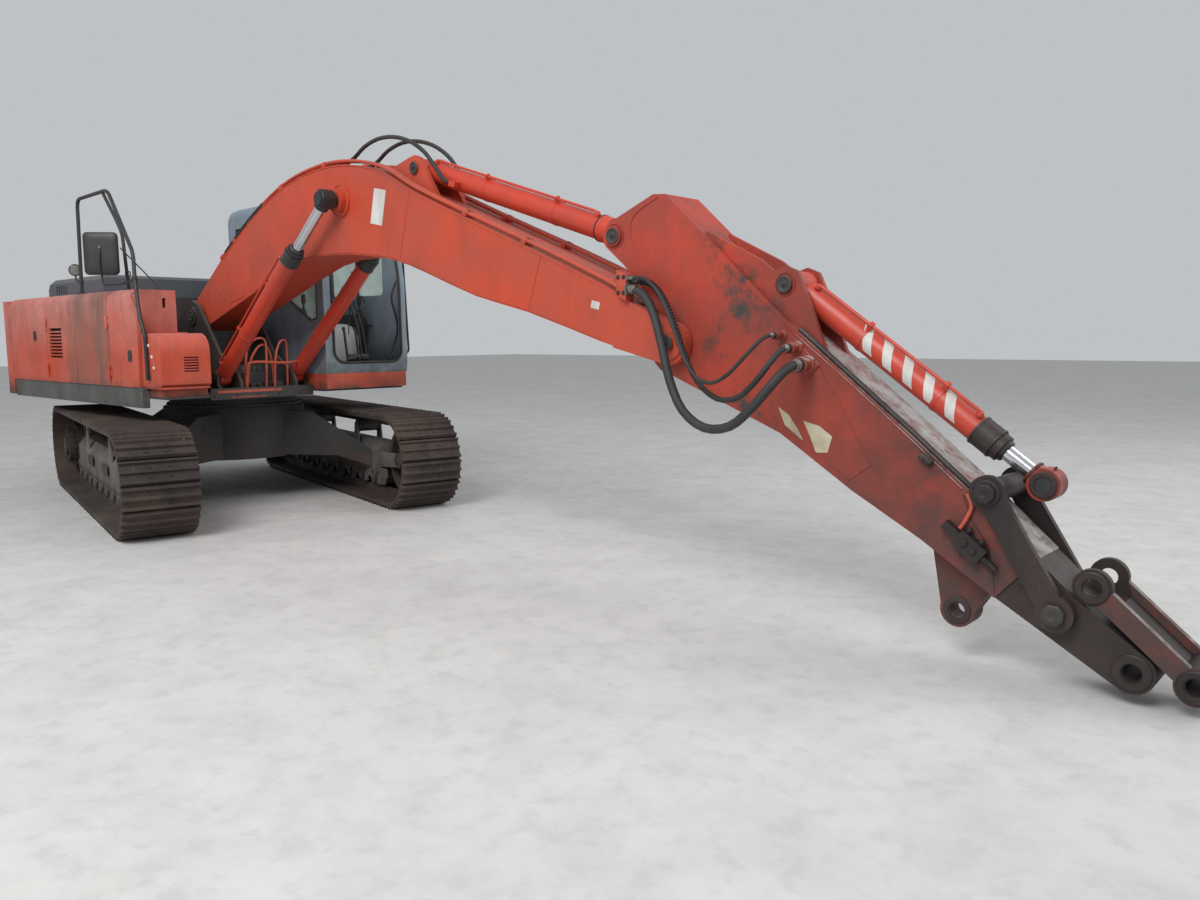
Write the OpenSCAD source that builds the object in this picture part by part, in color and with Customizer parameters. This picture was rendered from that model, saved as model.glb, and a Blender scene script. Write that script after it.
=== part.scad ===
/* [Tracks] */
// Distance between the centre lines of the two tracks
track_gauge = 2390; // [2200:10:2600]
// Width of a track shoe
shoe_w = 600; // [500:10:700]
// Distance from the sprocket axle to the idler axle
axle_dist = 3660; // [3400:10:3900]
// Height of a track over its grousers
track_h = 920; // [880:10:960]
// Number of shoes on one track
shoe_count = 48; // [40:1:52]
// Height of a grouser
grouser_h = 26; // [15:1:35]
// Number of track rollers on one side
roller_count = 8; // [6:1:9]
// Number of teeth on a sprocket
tooth_count = 21; // [17:1:25]
// Turn of the undercarriage under the house, in degrees
under_turn = -12.4; // [-30:0.1:30]
// Clearance under the car body
ground_clear = 450; // [400:10:520]
// Radius of the slewing ring
ring_r = 640; // [560:10:700]

/* [House] */
// Width of the house
house_w = 2710; // [2500:10:2900]
// Height of the underside of the deck
deck_z = 1130; // [1110:10:1150]
// Height of the lower edge of the side panels
panel_bottom = 1230; // [1200:10:1260]
// Height of the top of the side panels
panel_top = 2110; // [1950:10:2200]
// Radius of the rounded top edge of the side panels
panel_round = 90; // [60:5:120]
// Thickness of the sheet panels
sheet_t = 30; // [20:1:40]
// Radius that the tail sweeps
tail_r = 2950; // [2800:10:3000]
// Front face of the counterweight, behind the slewing axis
tail_in = 2425; // [2350:5:2500]
// Height of the engine hood over the side panels
hood_h = 220; // [150:10:280]
// Front of the engine hood, behind the slewing axis
hood_front = 860; // [800:10:1000]
// Front of the right house panels
front_x = 955; // [900:5:1000]
// Number of slats in the side vents
slat_count = 9; // [5:1:14]

/* [Cab] */
// Length of the cab
cab_l = 1870; // [1700:10:2000]
// Position of the front of the cab
cab_front = 1270; // [1200:10:1350]
// Width of the cab
cab_w = 990; // [950:10:1000]
// Height of the cab roof over the ground
cab_top = 3080; // [2900:10:3150]
// Height of the cab floor over the ground
cab_floor = 1304; // [1290:1:1330]
// Thickness of the cab walls and the door
cab_wall = 36; // [25:1:45]
// Radius of the corners of the cab windows
window_round = 90; // [40:5:120]

/* [Boom] */
// Offset of the boom and arm to the side of the slewing axis
boom_y = -150; // [-200:10:0]
// Width of the boom box
boom_w = 480; // [440:10:500]
// Thickness of the boom and arm plates
plate_t = 14; // [10:1:20]
// Radius of the pins at the boom foot and tip
pin_r = 45; // [35:1:50]
// Running clearance of a pin in its bore
pin_gap = 0.1; // [0.05:0.01:0.1]
// Radius of the pipes along the boom
pipe_r = 14; // [10:1:18]
// Distance between the pipes along the boom
pipe_step = 46; // [36:1:60]
// Radius of the thick hose at the elbow
hose_r = 26; // [20:1:30]

/* [Arm] */
// Width of the arm box
arm_w = 340; // [300:10:350]
// Radius of the bore for the bucket pin
nose_bore_r = 40; // [30:1:45]
// Radius of the boss round the bucket pin
nose_boss_r = 98; // [90:1:110]
// Width of the arm at the bucket pin
nose_w = 320; // [290:10:330]
// Thickness of a rocker and of a side plate of the loose link
rocker_t = 38; // [25:1:45]

/* [Cylinders] */
// Outer radius of a boom cylinder barrel
boom_barrel_r = 72; // [60:1:76]
// Outer radius of the arm cylinder barrel
arm_barrel_r = 80; // [65:1:85]
// Outer radius of the bucket cylinder barrel
bucket_barrel_r = 70; // [60:1:76]
// Radius of the piston rods
rod_r = 42; // [35:1:50]
// How far the boom cylinders shorten from the rest pose
boom_retract = 500; // [400:10:540]

/* [Hidden] */

orange = [0.78, 0.22, 0.13];
dark = [0.16, 0.17, 0.19];
grey = [0.45, 0.50, 0.55];
rust = [0.30, 0.20, 0.15];
steel = [0.75, 0.76, 0.78];
pane = [0.6, 0.75, 0.7, 0.5];

fa = 48;
cut = 1;
seat_gap = 0.3;

// Pins of the boom, arm and cylinders, seen from the side, as [x, z]
foot_pin = [100, 1890];
tip_pin = [6138, 1617];
boom_cyl_foot = [830, 1290];
boom_cyl_head = [2733, 2779];
arm_cyl_foot = [3598, 2953];
arm_cyl_head = [5651, 2286];
bucket_cyl_foot = [6866, 1938];
bucket_cyl_head = [8239, 945];
rocker_pin = [8364, 377];
rocker_head = [8037, 908];
nose_pin = [8680, 156];
link_top = [8500, 512];
link_low = [8925, 148];
lug_pin = [7856, 265];

// Extrudes a side view, drawn as x and z, from y0 to y1
module side(y0, y1) {
    translate([0, y1, 0]) rotate([90, 0, 0]) linear_extrude(y1 - y0) children();
}

// Extrudes a front view, drawn as y and z, from x0 to x1
module front(x0, x1) {
    translate([x0, 0, 0]) rotate([90, 0, 90]) linear_extrude(x1 - x0) children();
}

// Plates of thickness t on both sides of the plane at c, with their inner faces y away from it
module both(y, t, c = boom_y) {
    for (s = [-1, 1]) side(c + s * (y + t / 2) - t / 2, c + s * (y + t / 2) + t / 2) children();
}

// Round bar along y at p = [x, z]
module ybar(p, r, y0, y1) {
    translate([p[0], y1, p[1]]) rotate([90, 0, 0]) cylinder(r = r, h = y1 - y0, $fn = fa);
}

// Round bar along x from x0 to x1
module xbar(r, x0, x1) {
    translate([x0, 0, 0]) rotate([0, 90, 0]) cylinder(r = r, h = x1 - x0, $fn = fa);
}

// Round bar along z at p = [x, y]
module zbar(p, r, z0, z1) {
    translate([p[0], p[1], z0]) cylinder(r = r, h = z1 - z0, $fn = fa);
}

// Block between two corners
module block(a, b) {
    translate(a) cube(b - a);
}

// Places children, drawn along +x from the origin, from p towards q at height y
module along(p, q, y) {
    translate([p[0], y, p[1]]) rotate([0, -atan2(q[1] - p[1], q[0] - p[0]), 0]) children();
}

// Rectangle from a to b with corners of radius r
module panel(a, b, r) {
    translate([a[0] + r, a[1]]) square([b[0] - a[0] - 2 * r, b[1] - a[1]]);
    translate([a[0], a[1] + r]) square([b[0] - a[0], b[1] - a[1] - 2 * r]);
    for (x = [a[0] + r, b[0] - r]) for (z = [a[1] + r, b[1] - r]) translate([x, z]) circle(r = r, $fn = fa);
}

function unit(v) = v / norm(v);
function left_of(v) = [-v[1], v[0]];
function dist(p, q) = norm(q - p);

// Bar with round ends of radius r and half width w between two points
module bar(p, q, r, w) {
    n = left_of(unit(q - p));
    for (c = [p, q]) translate(c) circle(r = r, $fn = fa);
    polygon([p - n * w, q - n * w, q + n * w, p + n * w]);
}

// Moves each corner of a closed outline, listed anticlockwise, inwards by t
function inset(pts, t) = [for (i = [0 : len(pts) - 1])
    let (n = len(pts), a = unit(pts[i] - pts[(i + n - 1) % n]), b = unit(pts[(i + 1) % n] - pts[i]),
        m = left_of(a) + left_of(b))
    pts[i] + m * (t * 2 / (m * m))];

function flip(pts, s) = [for (p = pts) [s * p[0], p[1]]];

// Points of an arc round c, from angle a0 to a1 in n steps
function arc(c, r, a0, a1, n) = [for (i = [0 : n]) let (a = a0 + (a1 - a0) * i / n)
    [c[0] + r * cos(a), c[1] + r * sin(a)]];

// Rounds the corners of a path by short curves that start r before each corner
function rounded(pts, r, m = 4) = concat([pts[0]], [for (i = [1 : len(pts) - 2])
    let (p = pts[i], a = unit(pts[i - 1] - p) * r, b = unit(pts[i + 1] - p) * r)
    for (k = [0 : m]) let (u = k / m) p + a * (1 - u) * (1 - u) + b * u * u], [pts[len(pts) - 1]]);

// Adds m points between each pair of a hand-laid route, on one smooth curve through them all
function smooth(pts, m) = let (n = len(pts)) concat([for (i = [0 : n - 2])
    let (a = pts[max(i - 1, 0)], b = pts[i], c = pts[i + 1], d = pts[min(i + 2, n - 1)])
    for (k = [0 : m]) let (u = k / (m + 1))
    b + (c - a) * (u / 2) + (2 * a - 5 * b + 4 * c - d) * (u * u / 2)
        + (3 * b - a - 3 * c + d) * (u * u * u / 2)], [pts[n - 1]]);

function tangents(p) = [for (i = [0 : len(p) - 1]) unit(p[min(i + 1, len(p) - 1)] - p[max(i - 1, 0)])];
function square_to(v, t) = unit(v - t * (v * t));
function normals(t, v, i = 0) = i == len(t) ? []
    : let (w = square_to(v, t[i])) concat([w], normals(t, w, i + 1));

// Tube of radius r along a path, with k sides
module tube(path, r, k = 8) {
    t = tangents(path);
    first = abs(t[0][1]) < 0.9 ? [0, 1, 0] : [1, 0, 0];
    v = normals(t, first);
    n = len(path);
    polyhedron(points = [for (i = [0 : n - 1]) for (j = [0 : k - 1])
            path[i] + (v[i] * cos(360 * j / k) + cross(t[i], v[i]) * sin(360 * j / k)) * r],
        faces = concat([[for (j = [0 : k - 1]) j]],
            [[for (j = [k - 1 : -1 : 0]) (n - 1) * k + j]],
            [for (i = [0 : n - 2]) for (j = [0 : k - 1])
                [i * k + j, (i + 1) * k + j, (i + 1) * k + (j + 1) % k, i * k + (j + 1) % k]]));
}

// Turns children with the undercarriage
module under() {
    rotate([0, 0, under_turn]) children();
}

axle_z = track_h / 2;
half_axle = axle_dist / 2;
half_gauge = track_gauge / 2;
shoe_t = 16;
link_h = 95;
rail_in = 55;
rail_out = 105;
link_r = axle_z - grouser_h - shoe_t;
loop_len = 2 * axle_dist + 2 * PI * link_r;
pitch = loop_len / shoe_count;

// Point of the shoe line at length s, raised by h
function on_loop(s, h) = let (u = (s + loop_len) % loop_len, half = PI * link_r)
    u < axle_dist ? [-half_axle + u, axle_z - link_r - h]
    : u < axle_dist + half ? let (a = (u - axle_dist) / link_r * 180 / PI - 90)
        [half_axle + (link_r + h) * cos(a), axle_z + (link_r + h) * sin(a)]
    : u < 2 * axle_dist + half ? [half_axle - (u - axle_dist - half), axle_z + link_r + h]
    : let (a = (u - 2 * axle_dist - half) / link_r * 180 / PI + 90)
        [-half_axle + (link_r + h) * cos(a), axle_z + (link_r + h) * sin(a)];

// One shoe in section, as [share of the pitch, height over the link line]
shoe_form = [[0.03, -6], [0.03, shoe_t], [0.10, shoe_t + grouser_h], [0.16, shoe_t + grouser_h],
    [0.22, shoe_t], [0.44, shoe_t], [0.48, shoe_t + grouser_h], [0.54, shoe_t + grouser_h],
    [0.60, shoe_t], [0.80, shoe_t], [0.85, shoe_t + grouser_h], [0.92, shoe_t + grouser_h],
    [0.97, shoe_t], [0.97, -6]];

module stadium(r) {
    for (s = [-1, 1]) translate([s * half_axle, axle_z]) circle(r = r, $fn = fa);
    translate([-half_axle, axle_z - r]) square([axle_dist, 2 * r]);
}

// Two closed tracks, each of triple grouser shoes on two rows of links
module tracks() {
    color(rust) under() for (t = [-1, 1]) {
        y = t * half_gauge;
        side(y - shoe_w / 2, y + shoe_w / 2) difference() {
            polygon([for (i = [0 : shoe_count - 1]) for (q = shoe_form)
                on_loop((i + q[0]) * pitch, q[1])]);
            stadium(link_r - shoe_t);
        }
        both(rail_in, rail_out - rail_in, y) difference() {
            stadium(link_r - shoe_t + 2);
            stadium(link_r - link_h);
        }
    }
}

roller_r = 78;
roller_span = 2750;
roller_z = axle_z - link_r + link_h + roller_r + seat_gap;
carrier_r = 60;
carrier_z = axle_z + link_r - link_h - carrier_r - seat_gap;
carrier_x = 700;
flange_h = 14;
flange_w = 12;
guard_in = rail_out + 2 + flange_w + 2;
guard_t = 16;
frame_half = guard_in + guard_t;
frame_low = roller_z + roller_r + flange_h + 8;
frame_side = 510;
frame_top = 600;
frame_back = 1400;
frame_front = 1330;
guard_low = 165;
frame_form = [[-frame_half, frame_low], [frame_half, frame_low], [frame_half, frame_side], [70, frame_top],
    [-70, frame_top], [-frame_half, frame_side]];

// Box beams with roller guards, idler forks, carrier roller brackets and drive plates
module track_frames() {
    color(dark) under() for (t = [-1, 1]) translate([0, t * half_gauge, 0]) {
        front(-frame_back, frame_front) difference() {
            polygon(frame_form);
            polygon(inset(frame_form, plate_t));
        }
        for (x = [-frame_back, frame_front - plate_t]) front(x, x + plate_t) polygon(frame_form);
        both(guard_in, guard_t, 0) {
            difference() {
                polygon([[-roller_span / 2 - 110, frame_low + 20], [-roller_span / 2 - 110, 250],
                    [-roller_span / 2 - 50, guard_low], [roller_span / 2 + 50, guard_low],
                    [roller_span / 2 + 110, 250], [roller_span / 2 + 110, frame_low + 20]]);
                for (i = [0 : roller_count - 2]) translate([roller_x(i) + roller_step / 2, guard_low])
                    circle(r = 62, $fn = fa);
            }
            polygon([[frame_front - 60, frame_low + 30], [half_axle + 60, axle_z - 65],
                [half_axle + 110, axle_z - 30], [half_axle + 110, axle_z + 30], [half_axle + 60, axle_z + 65],
                [frame_front - 60, frame_side - 5]]);
            for (x = [-carrier_x, carrier_x]) polygon([[x - 80, frame_side - 10], [x + 80, frame_side - 10],
                [x + 35, carrier_z + 35], [x - 35, carrier_z + 35]]);
        }
        side(-t * (guard_in + guard_t / 2) - guard_t / 2, -t * (guard_in + guard_t / 2) + guard_t / 2) {
            polygon([[-half_axle, axle_z - 200], [-frame_back + 60, frame_low + 5],
                [-frame_back + 60, frame_side - 5], [-half_axle, axle_z + 200]]);
            translate([-half_axle, axle_z]) circle(r = 205, $fn = fa);
        }
    }
}

roller_step = roller_span / roller_count;
function roller_x(i) = -roller_span / 2 + roller_step * (i + 0.5);

// Roller with a flange outside each rail and an axle that ends at the guards
module roller(x, z, r, y) {
    ybar([x, z], r, y - rail_out - 2, y + rail_out + 2);
    both(rail_out + 2, flange_w, y) translate([x, z]) circle(r = r + flange_h, $fn = fa);
    ybar([x, z], 30, y - guard_in + seat_gap, y + guard_in - seat_gap);
}

module track_rollers() {
    color(dark) under() for (s = [-1, 1]) {
        for (i = [0 : roller_count - 1]) roller(roller_x(i), roller_z, roller_r, s * half_gauge);
        for (x = [-carrier_x, carrier_x]) roller(x, carrier_z, carrier_r, s * half_gauge);
    }
}

wheel_r = link_r - link_h - seat_gap;
tooth_tip = link_r - 40;
tooth_root = link_r - link_h - 12;
wheel_half = rail_in - 12;

// Toothed rims on stepped drums, outwards along +y before they are mirrored
module sprockets() {
    color(rust) under() for (s = [-1, 1]) translate([-half_axle, s * half_gauge, axle_z])
        rotate([0, 0, s > 0 ? 0 : 180]) {
            side(-wheel_half, wheel_half) polygon([for (i = [0 : tooth_count - 1])
                for (q = [[-0.34, tooth_root], [-0.13, tooth_tip], [0.13, tooth_tip], [0.34, tooth_root]])
                let (a = (i + q[0]) * 360 / tooth_count) [q[1] * cos(a), q[1] * sin(a)]]);
            ybar([0, 0], 235, wheel_half - cut, guard_in - 4);
            ybar([0, 0], 195, -guard_in + seat_gap, -wheel_half + cut);
            ybar([0, 0], 185, guard_in - 4 - cut, rail_out + 95);
            ybar([0, 0], 110, rail_out + 95 - cut, rail_out + 120);
        }
}

module idlers() {
    color(rust) under() for (s = [-1, 1]) translate([half_axle, s * half_gauge, axle_z]) difference() {
        union() {
            ybar([0, 0], wheel_r, -rail_out, rail_out);
            ybar([0, 0], wheel_r + 30, -rail_in + 8, rail_in - 8);
            ybar([0, 0], 62, -guard_in + seat_gap, guard_in - seat_gap);
        }
        both(35, rail_out, 0) difference() {
            circle(r = wheel_r - 45, $fn = fa);
            circle(r = 105, $fn = fa);
        }
    }
}

body_top = 970;
drum_r = 700;
leg_end = half_gauge - frame_half;
leg_plate = 20;

// Leg of the car body, set in by t for the space inside it
module leg(sx, sy, t) {
    intersection() {
        linear_extrude(body_top) polygon([[sx * (180 + t), sy * (300 + t)], [sx * (560 - t), sy * (200 + t)],
            [sx * (1130 - t), sy * (leg_end - t)], [sx * (700 + t), sy * (leg_end - t)]]);
        front(-half_axle, half_axle) polygon([[sy * 150, ground_clear + leg_plate + t], [sy * 150, 930 - t],
            [sy * 560, 905 - t], [sy * (leg_end - t), frame_side - 5 - t],
            [sy * (leg_end - t), frame_low + 15 + t], [sy * 760, ground_clear + t]]);
    }
}

module car_body() {
    color(dark) under() difference() {
        union() {
            zbar([0, 0], drum_r, ground_clear, body_top);
            for (sx = [-1, 1]) for (sy = [-1, 1]) leg(sx, sy, 0);
        }
        zbar([0, 0], drum_r - leg_plate, ground_clear + leg_plate, body_top - leg_plate - 5);
        zbar([0, 0], 260, ground_clear - cut, body_top + cut);
        for (sx = [-1, 1]) for (sy = [-1, 1]) leg(sx, sy, leg_plate);
    }
}

race_w = 110;
race_top = 1035;

module ring(r, z0, z1) {
    translate([0, 0, z0]) cylinder(r = r, h = z1 - z0, $fn = 3 * fa);
}

module slew_ring() {
    color(dark) under() difference() {
        union() {
            ring(ring_r + 30, body_top, body_top + 28);
            ring(ring_r, body_top, race_top);
        }
        ring(ring_r - race_w, body_top - cut, race_top + cut);
    }
}

half_w = house_w / 2;
web_y = boom_w / 2;
foot_boss_y = web_y + 22;
foot_lug_t = 32;
foot_gap = 10;
lug_y = foot_boss_y + foot_gap;
eye_half = 50;
eye_r = 78;
cyl_y = lug_y + foot_lug_t + eye_half + 30;
cap_t = 26;
cap_y = cyl_y + eye_half + 12;
deck_t = 20;
deck_top = deck_z + deck_t;
skirt_in = half_w - 70;
deck_front = 1040;
box_in = -930;
bay_y = box_in + 20;
wall_t = 20;
cyl_pin_r = pin_r - 5;
cab_y0 = half_w - cab_w - 35;
cab_y1 = half_w - 35;
cab_x0 = cab_front - cab_l;
in_deck = deck_top - 10;

// Revolving frame: ring seat, deck plate, boom foot lugs, cylinder feet and the engine bay's front wall
module deck() {
    color(dark) {
        difference() {
            union() {
                translate([0, 0, deck_z]) linear_extrude(deck_t) polygon([[-tail_in + seat_gap, -skirt_in],
                    [1290, -skirt_in], [1290, -890], [deck_front, -760], [deck_front, cab_y0 - 20],
                    [cab_front - 60, cab_y0], [cab_front - 60, skirt_in], [-tail_in + seat_gap, skirt_in]]);
                zbar([0, 0], ring_r - 10, race_top + seat_gap, deck_z + cut);
            }
            zbar([0, 0], ring_r - race_w, race_top, deck_top + cut);
        }
        both(lug_y, foot_lug_t) difference() {
            polygon([[-hood_front - 10, in_deck], [deck_front - 20, in_deck], [deck_front - 20, 1240],
                [940, 1350], [840, 1390], [620, 1520], [220, 2000], [100, 2050], [-60, 2030], [-170, 1900],
                [-700, 1450], [-hood_front - 10, 1440]]);
            translate([-550, 1290]) circle(r = 75, $fn = fa);
            translate([0, 1560]) circle(r = 150, $fn = fa);
        }
        for (x = [-60, 560]) front(x, x + wall_t) polygon([[boom_y - lug_y - 5, in_deck],
            [boom_y + lug_y + 5, in_deck], [boom_y + lug_y + 5, 1400], [boom_y - lug_y - 5, 1400]]);
        both(cap_y, cap_t) {
            translate(boom_cyl_foot) circle(r = 62, $fn = fa);
            polygon([[640, in_deck], [1000, in_deck], [890, 1228], [892, 1290], [768, 1290], [700, 1228]]);
        }
        ybar(foot_pin, pin_r, boom_y - lug_y - foot_lug_t - 20, boom_y + lug_y + foot_lug_t + 20);
        both(lug_y + foot_lug_t - cut, 18) translate(foot_pin) circle(r = 95, $fn = fa);
        both(lug_y + 10, cap_y + cap_t + 4 - lug_y - 10) translate(boom_cyl_foot) circle(r = cyl_pin_r, $fn = fa);
        front(-hood_front - wall_t, -hood_front) polygon([[bay_y + 6, in_deck], [half_w - 130, in_deck],
            [half_w - 130, panel_top + 5], [bay_y + 6, panel_top + 5]]);
        front(deck_front - wall_t, deck_front) polygon([[-760, deck_z - 40], [cab_y0 - 20, deck_z - 40],
            [cab_y0 - 20, deck_top + 45], [-760, deck_top + 45]]);
    }
}

skirt_low = 1045;
skirt_form = [[half_w - 10, skirt_low], [half_w - 10, panel_bottom], [skirt_in, panel_bottom],
    [skirt_in, skirt_low]];

// Box section sills under the side panels
module side_skirts() {
    color(grey) for (s = [-1, 1]) {
        x1 = s < 0 ? front_x : cab_x0 - 40;
        front(-tail_in + 15, x1) difference() {
            polygon(flip(skirt_form, s));
            polygon(flip(inset(skirt_form, 8), s));
        }
        for (x = [-tail_in + 15, x1 - 8]) front(x, x + 8) polygon(flip(skirt_form, s));
    }
}

band_low = deck_top + seat_gap;
band_h = cab_floor - seat_gap - band_low;

// Painted sill round the cab's floor, open below
module cab_base() {
    color(orange) difference() {
        translate([0, 0, band_low]) linear_extrude(band_h)
            panel([cab_x0 - 30, cab_y0 + 5], [cab_front, half_w - 40], 40);
        translate([0, 0, band_low - cut]) linear_extrude(band_h - 20 + cut)
            panel([cab_x0, cab_y0 + 35], [cab_front - 30, half_w - 70], 20);
    }
}

tail_top = 2090;
tail_low = 1060;

module tail_plan(t) {
    intersection() {
        circle(r = tail_r - t, $fn = 128);
        translate([-tail_r, -half_w + t]) square([tail_r - tail_in - t, house_w - 2 * t]);
    }
}

hinge_gap = 640;
hood_axis = [-tail_in - 35, tail_top + 46];
hood_knuckle = 21;

// Counterweight with its rounded back edge, the hinge cheeks of the hood and the left door's hinge
module counterweight() {
    color(orange) {
        difference() {
            intersection() {
                translate([0, 0, tail_low]) linear_extrude(tail_top - tail_low) tail_plan(0);
                side(-half_w, half_w) polygon(concat([[-tail_in, tail_low], [-tail_in, tail_top]],
                    arc([-tail_r + 170, tail_top - 170], 170, 90, 180, 8),
                    [[-tail_r, 1420], [-tail_r + 60, 1230], [-tail_r + 210, 1085], [-tail_r + 250, tail_low]]));
            }
            translate([0, 0, 1200]) linear_extrude(740) intersection() {
                tail_plan(170);
                translate([-tail_r, -half_w + 220]) square([tail_r - tail_in - 120, house_w - 440]);
            }
        }
        for (s = [-1, 1]) {
            both(hood_knuckle + 2, 12, s * hinge_gap) {
                translate(hood_axis) circle(r = 20, $fn = fa);
                translate([hood_axis[0] - 20, tail_top - cut]) square([40, hood_axis[1] - tail_top + cut]);
            }
            ybar(hood_axis, 10, s * hinge_gap - hood_knuckle - 3, s * hinge_gap + hood_knuckle + 3);
        }
        knuckle_fixed(-tail_in + 5, 1);
    }
}

flange = 30;

// Wall with a rounded top edge and an inward flange, in front view, for the left side
module wall_form() {
    c = [half_w - panel_round, panel_top - panel_round];
    difference() {
        union() {
            translate([half_w - sheet_t, wall_z0]) square([sheet_t, c[1] - wall_z0]);
            translate([c[0] - flange, c[1]]) square([flange, panel_round]);
            intersection() {
                translate(c) circle(r = panel_round, $fn = fa);
                translate(c) square(panel_round);
            }
        }
        translate(c) circle(r = panel_round - sheet_t, $fn = fa);
        translate([c[0] - flange - cut, c[1] - cut]) square([flange + 2 * cut, panel_round - sheet_t + cut]);
    }
}

seam = 5;
wall_z0 = panel_bottom + seat_gap;
knuckle_r = 14;
hinge_r = 7;
hinge_y = half_w + knuckle_r;
hinge_zs = [panel_bottom + 90, panel_top - 320];
rear_seam = -1300;
vent_seam = -527;
door_seam = 300;
rear_edge = -tail_in + 10;
cover_y = half_w - panel_round - flange - 6;

// Knuckle of a hinge on the face at y, from z to z + h, with its leaf from x towards d
module knuckle(x, y, d, z, h) {
    zbar([x, y + knuckle_r], knuckle_r, z, z + h);
    block([d > 0 ? x : x - 45, y - cut, z], [d > 0 ? x + 45 : x, y + 6, z + h]);
}

// Bored knuckles of a door that lies towards d from its hinge line at x
module moving_knuckles(x, y, d, zs) {
    for (z = zs) difference() {
        knuckle(x, y, d, z, 60);
        zbar([x, y + knuckle_r], hinge_r + pin_gap, z - cut, z + 60 + cut);
    }
}

// Knuckles above and below each of a door's, with the pin, on the other side of the hinge line
module fixed_knuckles(x, y, d, zs) {
    for (z = zs) {
        for (h = [-31, 61]) knuckle(x, y, -d, z + h, 30);
        zbar([x, y + knuckle_r], hinge_r, z - 31, z + 91);
    }
}

module knuckle_fixed(x, d) { fixed_knuckles(x, half_w, d, hinge_zs); }
module knuckle_moving(x, d) { moving_knuckles(x, half_w, d, hinge_zs); }

vent_x0 = -1240;
vent_x1 = -890;
vent_z0 = 1476;
vent_z1 = 1779;

// Cuts the vent opening through a wall and fills it with slanting slats
module vent() {
    difference() {
        children();
        front(vent_x0, vent_x1) translate([half_w - 60, vent_z0]) square([100, vent_z1 - vent_z0]);
    }
    step = (vent_z1 - vent_z0) / slat_count;
    for (i = [0 : slat_count - 1]) translate([0, 0, vent_z0 + i * step]) front(vent_x0 - 2, vent_x1 + 2)
        polygon([[half_w - sheet_t + 2, 0], [half_w - 2, -12], [half_w - 2, -4], [half_w - sheet_t + 2, 8]]);
}

step_x = 752;
step_z = 1712;
wall_in = sheet_t + 6;

// Fixed panels of both sides, their top covers, and the walls beside the boom and above the step
module side_panels() {
    color(orange) {
        mirror([0, 1, 0]) {
            vent() front(rear_seam + seam, vent_seam - seam) wall_form();
            front(vent_seam + seam, door_seam - seam) wall_form();
            knuckle_fixed(rear_seam, -1);
            knuckle_fixed(door_seam, 1);
            translate([0, 0, panel_top - sheet_t]) linear_extrude(sheet_t)
                polygon([[rear_edge, -bay_y], [step_x, -bay_y], [step_x, cover_y], [rear_edge, cover_y]]);
            front(-hood_front + seat_gap, step_x) translate([-bay_y, band_low])
                square([wall_t, panel_top - band_low - cut]);
            difference() {
                front(step_x - sheet_t, step_x) {
                    panel([-bay_y, step_z - 60], [cover_y, panel_top - 8], 10);
                    polygon(concat([[cover_y - 100, step_z - 60], [half_w - wall_in, step_z - 60]],
                        arc([half_w - panel_round, panel_top - panel_round], panel_round - wall_in, 0, 90, 6),
                        [[cover_y - 100, panel_top - wall_in]]));
                }
                front(step_x - 90, step_x + 10) panel([1003, 1946], [1034, 2036], 8);
            }
        }
        vent() front(rear_seam + seam, cab_x0 - 45) wall_form();
        translate([0, 0, panel_top - sheet_t]) linear_extrude(sheet_t)
            polygon([[-hood_front + seat_gap, cab_y0], [cab_x0 - 45, cab_y0], [cab_x0 - 45, cover_y],
                [-hood_front + seat_gap, cover_y]]);
    }
}

module engine() {
    color(dark) difference() {
        block([-1900, -600, band_low], [-1280, 500, 1910]);
        block([-1840, -540, band_low + 60], [-1340, 440, 1850]);
    }
}

hood_z0 = panel_top + 5 + seat_gap;
hood_z1 = hood_z0 + hood_h;
hood_x0 = -tail_in - 15;
hood_y1 = half_w - panel_round - 20;
hood_side = [[hood_x0, hood_z0], [-hood_front, hood_z0], [-hood_front, hood_z1 - 30],
    [-hood_front - 40, hood_z1], [hood_x0 + 90, hood_z1], [hood_x0, hood_z1 - 110]];
hood_over = [[box_in, hood_z0], [hood_y1, hood_z0], [hood_y1, hood_z1 - 60],
    [hood_y1 - 60, hood_z1], [box_in + 50, hood_z1], [box_in, hood_z1 - 50]];

// Hood with bevelled edges, open below, slotted, with knuckles over the counterweight
module engine_hood() {
    color(dark) {
        difference() {
            intersection() {
                side(box_in, hood_y1) polygon(hood_side);
                front(hood_x0, -hood_front) polygon(hood_over);
            }
            intersection() {
                side(box_in, hood_y1) polygon(inset(hood_side, sheet_t));
                front(hood_x0, -hood_front) polygon(inset(hood_over, sheet_t));
            }
            block([hood_x0 + sheet_t, box_in + sheet_t, hood_z0 - cut],
                [-hood_front - sheet_t, hood_y1 - sheet_t, hood_z0 + sheet_t + cut]);
            for (i = [0 : 7]) translate([-2150 + i * 70, 250, hood_z0 + 100]) cube([30, 560, 200]);
            for (i = [0 : 4]) translate([hood_x0 + 240 + i * 70, box_in - cut, hood_z0 + 50])
                cube([40, sheet_t + 2 * cut, 90]);
        }
        for (s = [-1, 1]) difference() {
            side(s * hinge_gap - hood_knuckle, s * hinge_gap + hood_knuckle) {
                translate(hood_axis) circle(r = 20, $fn = fa);
                translate([hood_axis[0], hood_axis[1] - 10]) square([hood_x0 - hood_axis[0] + 10, 20]);
            }
            ybar(hood_axis, 10 + pin_gap, s * hinge_gap - hood_knuckle - cut, s * hinge_gap + hood_knuckle + cut);
        }
    }
}

exhaust_at = [-1250, 900];

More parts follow.
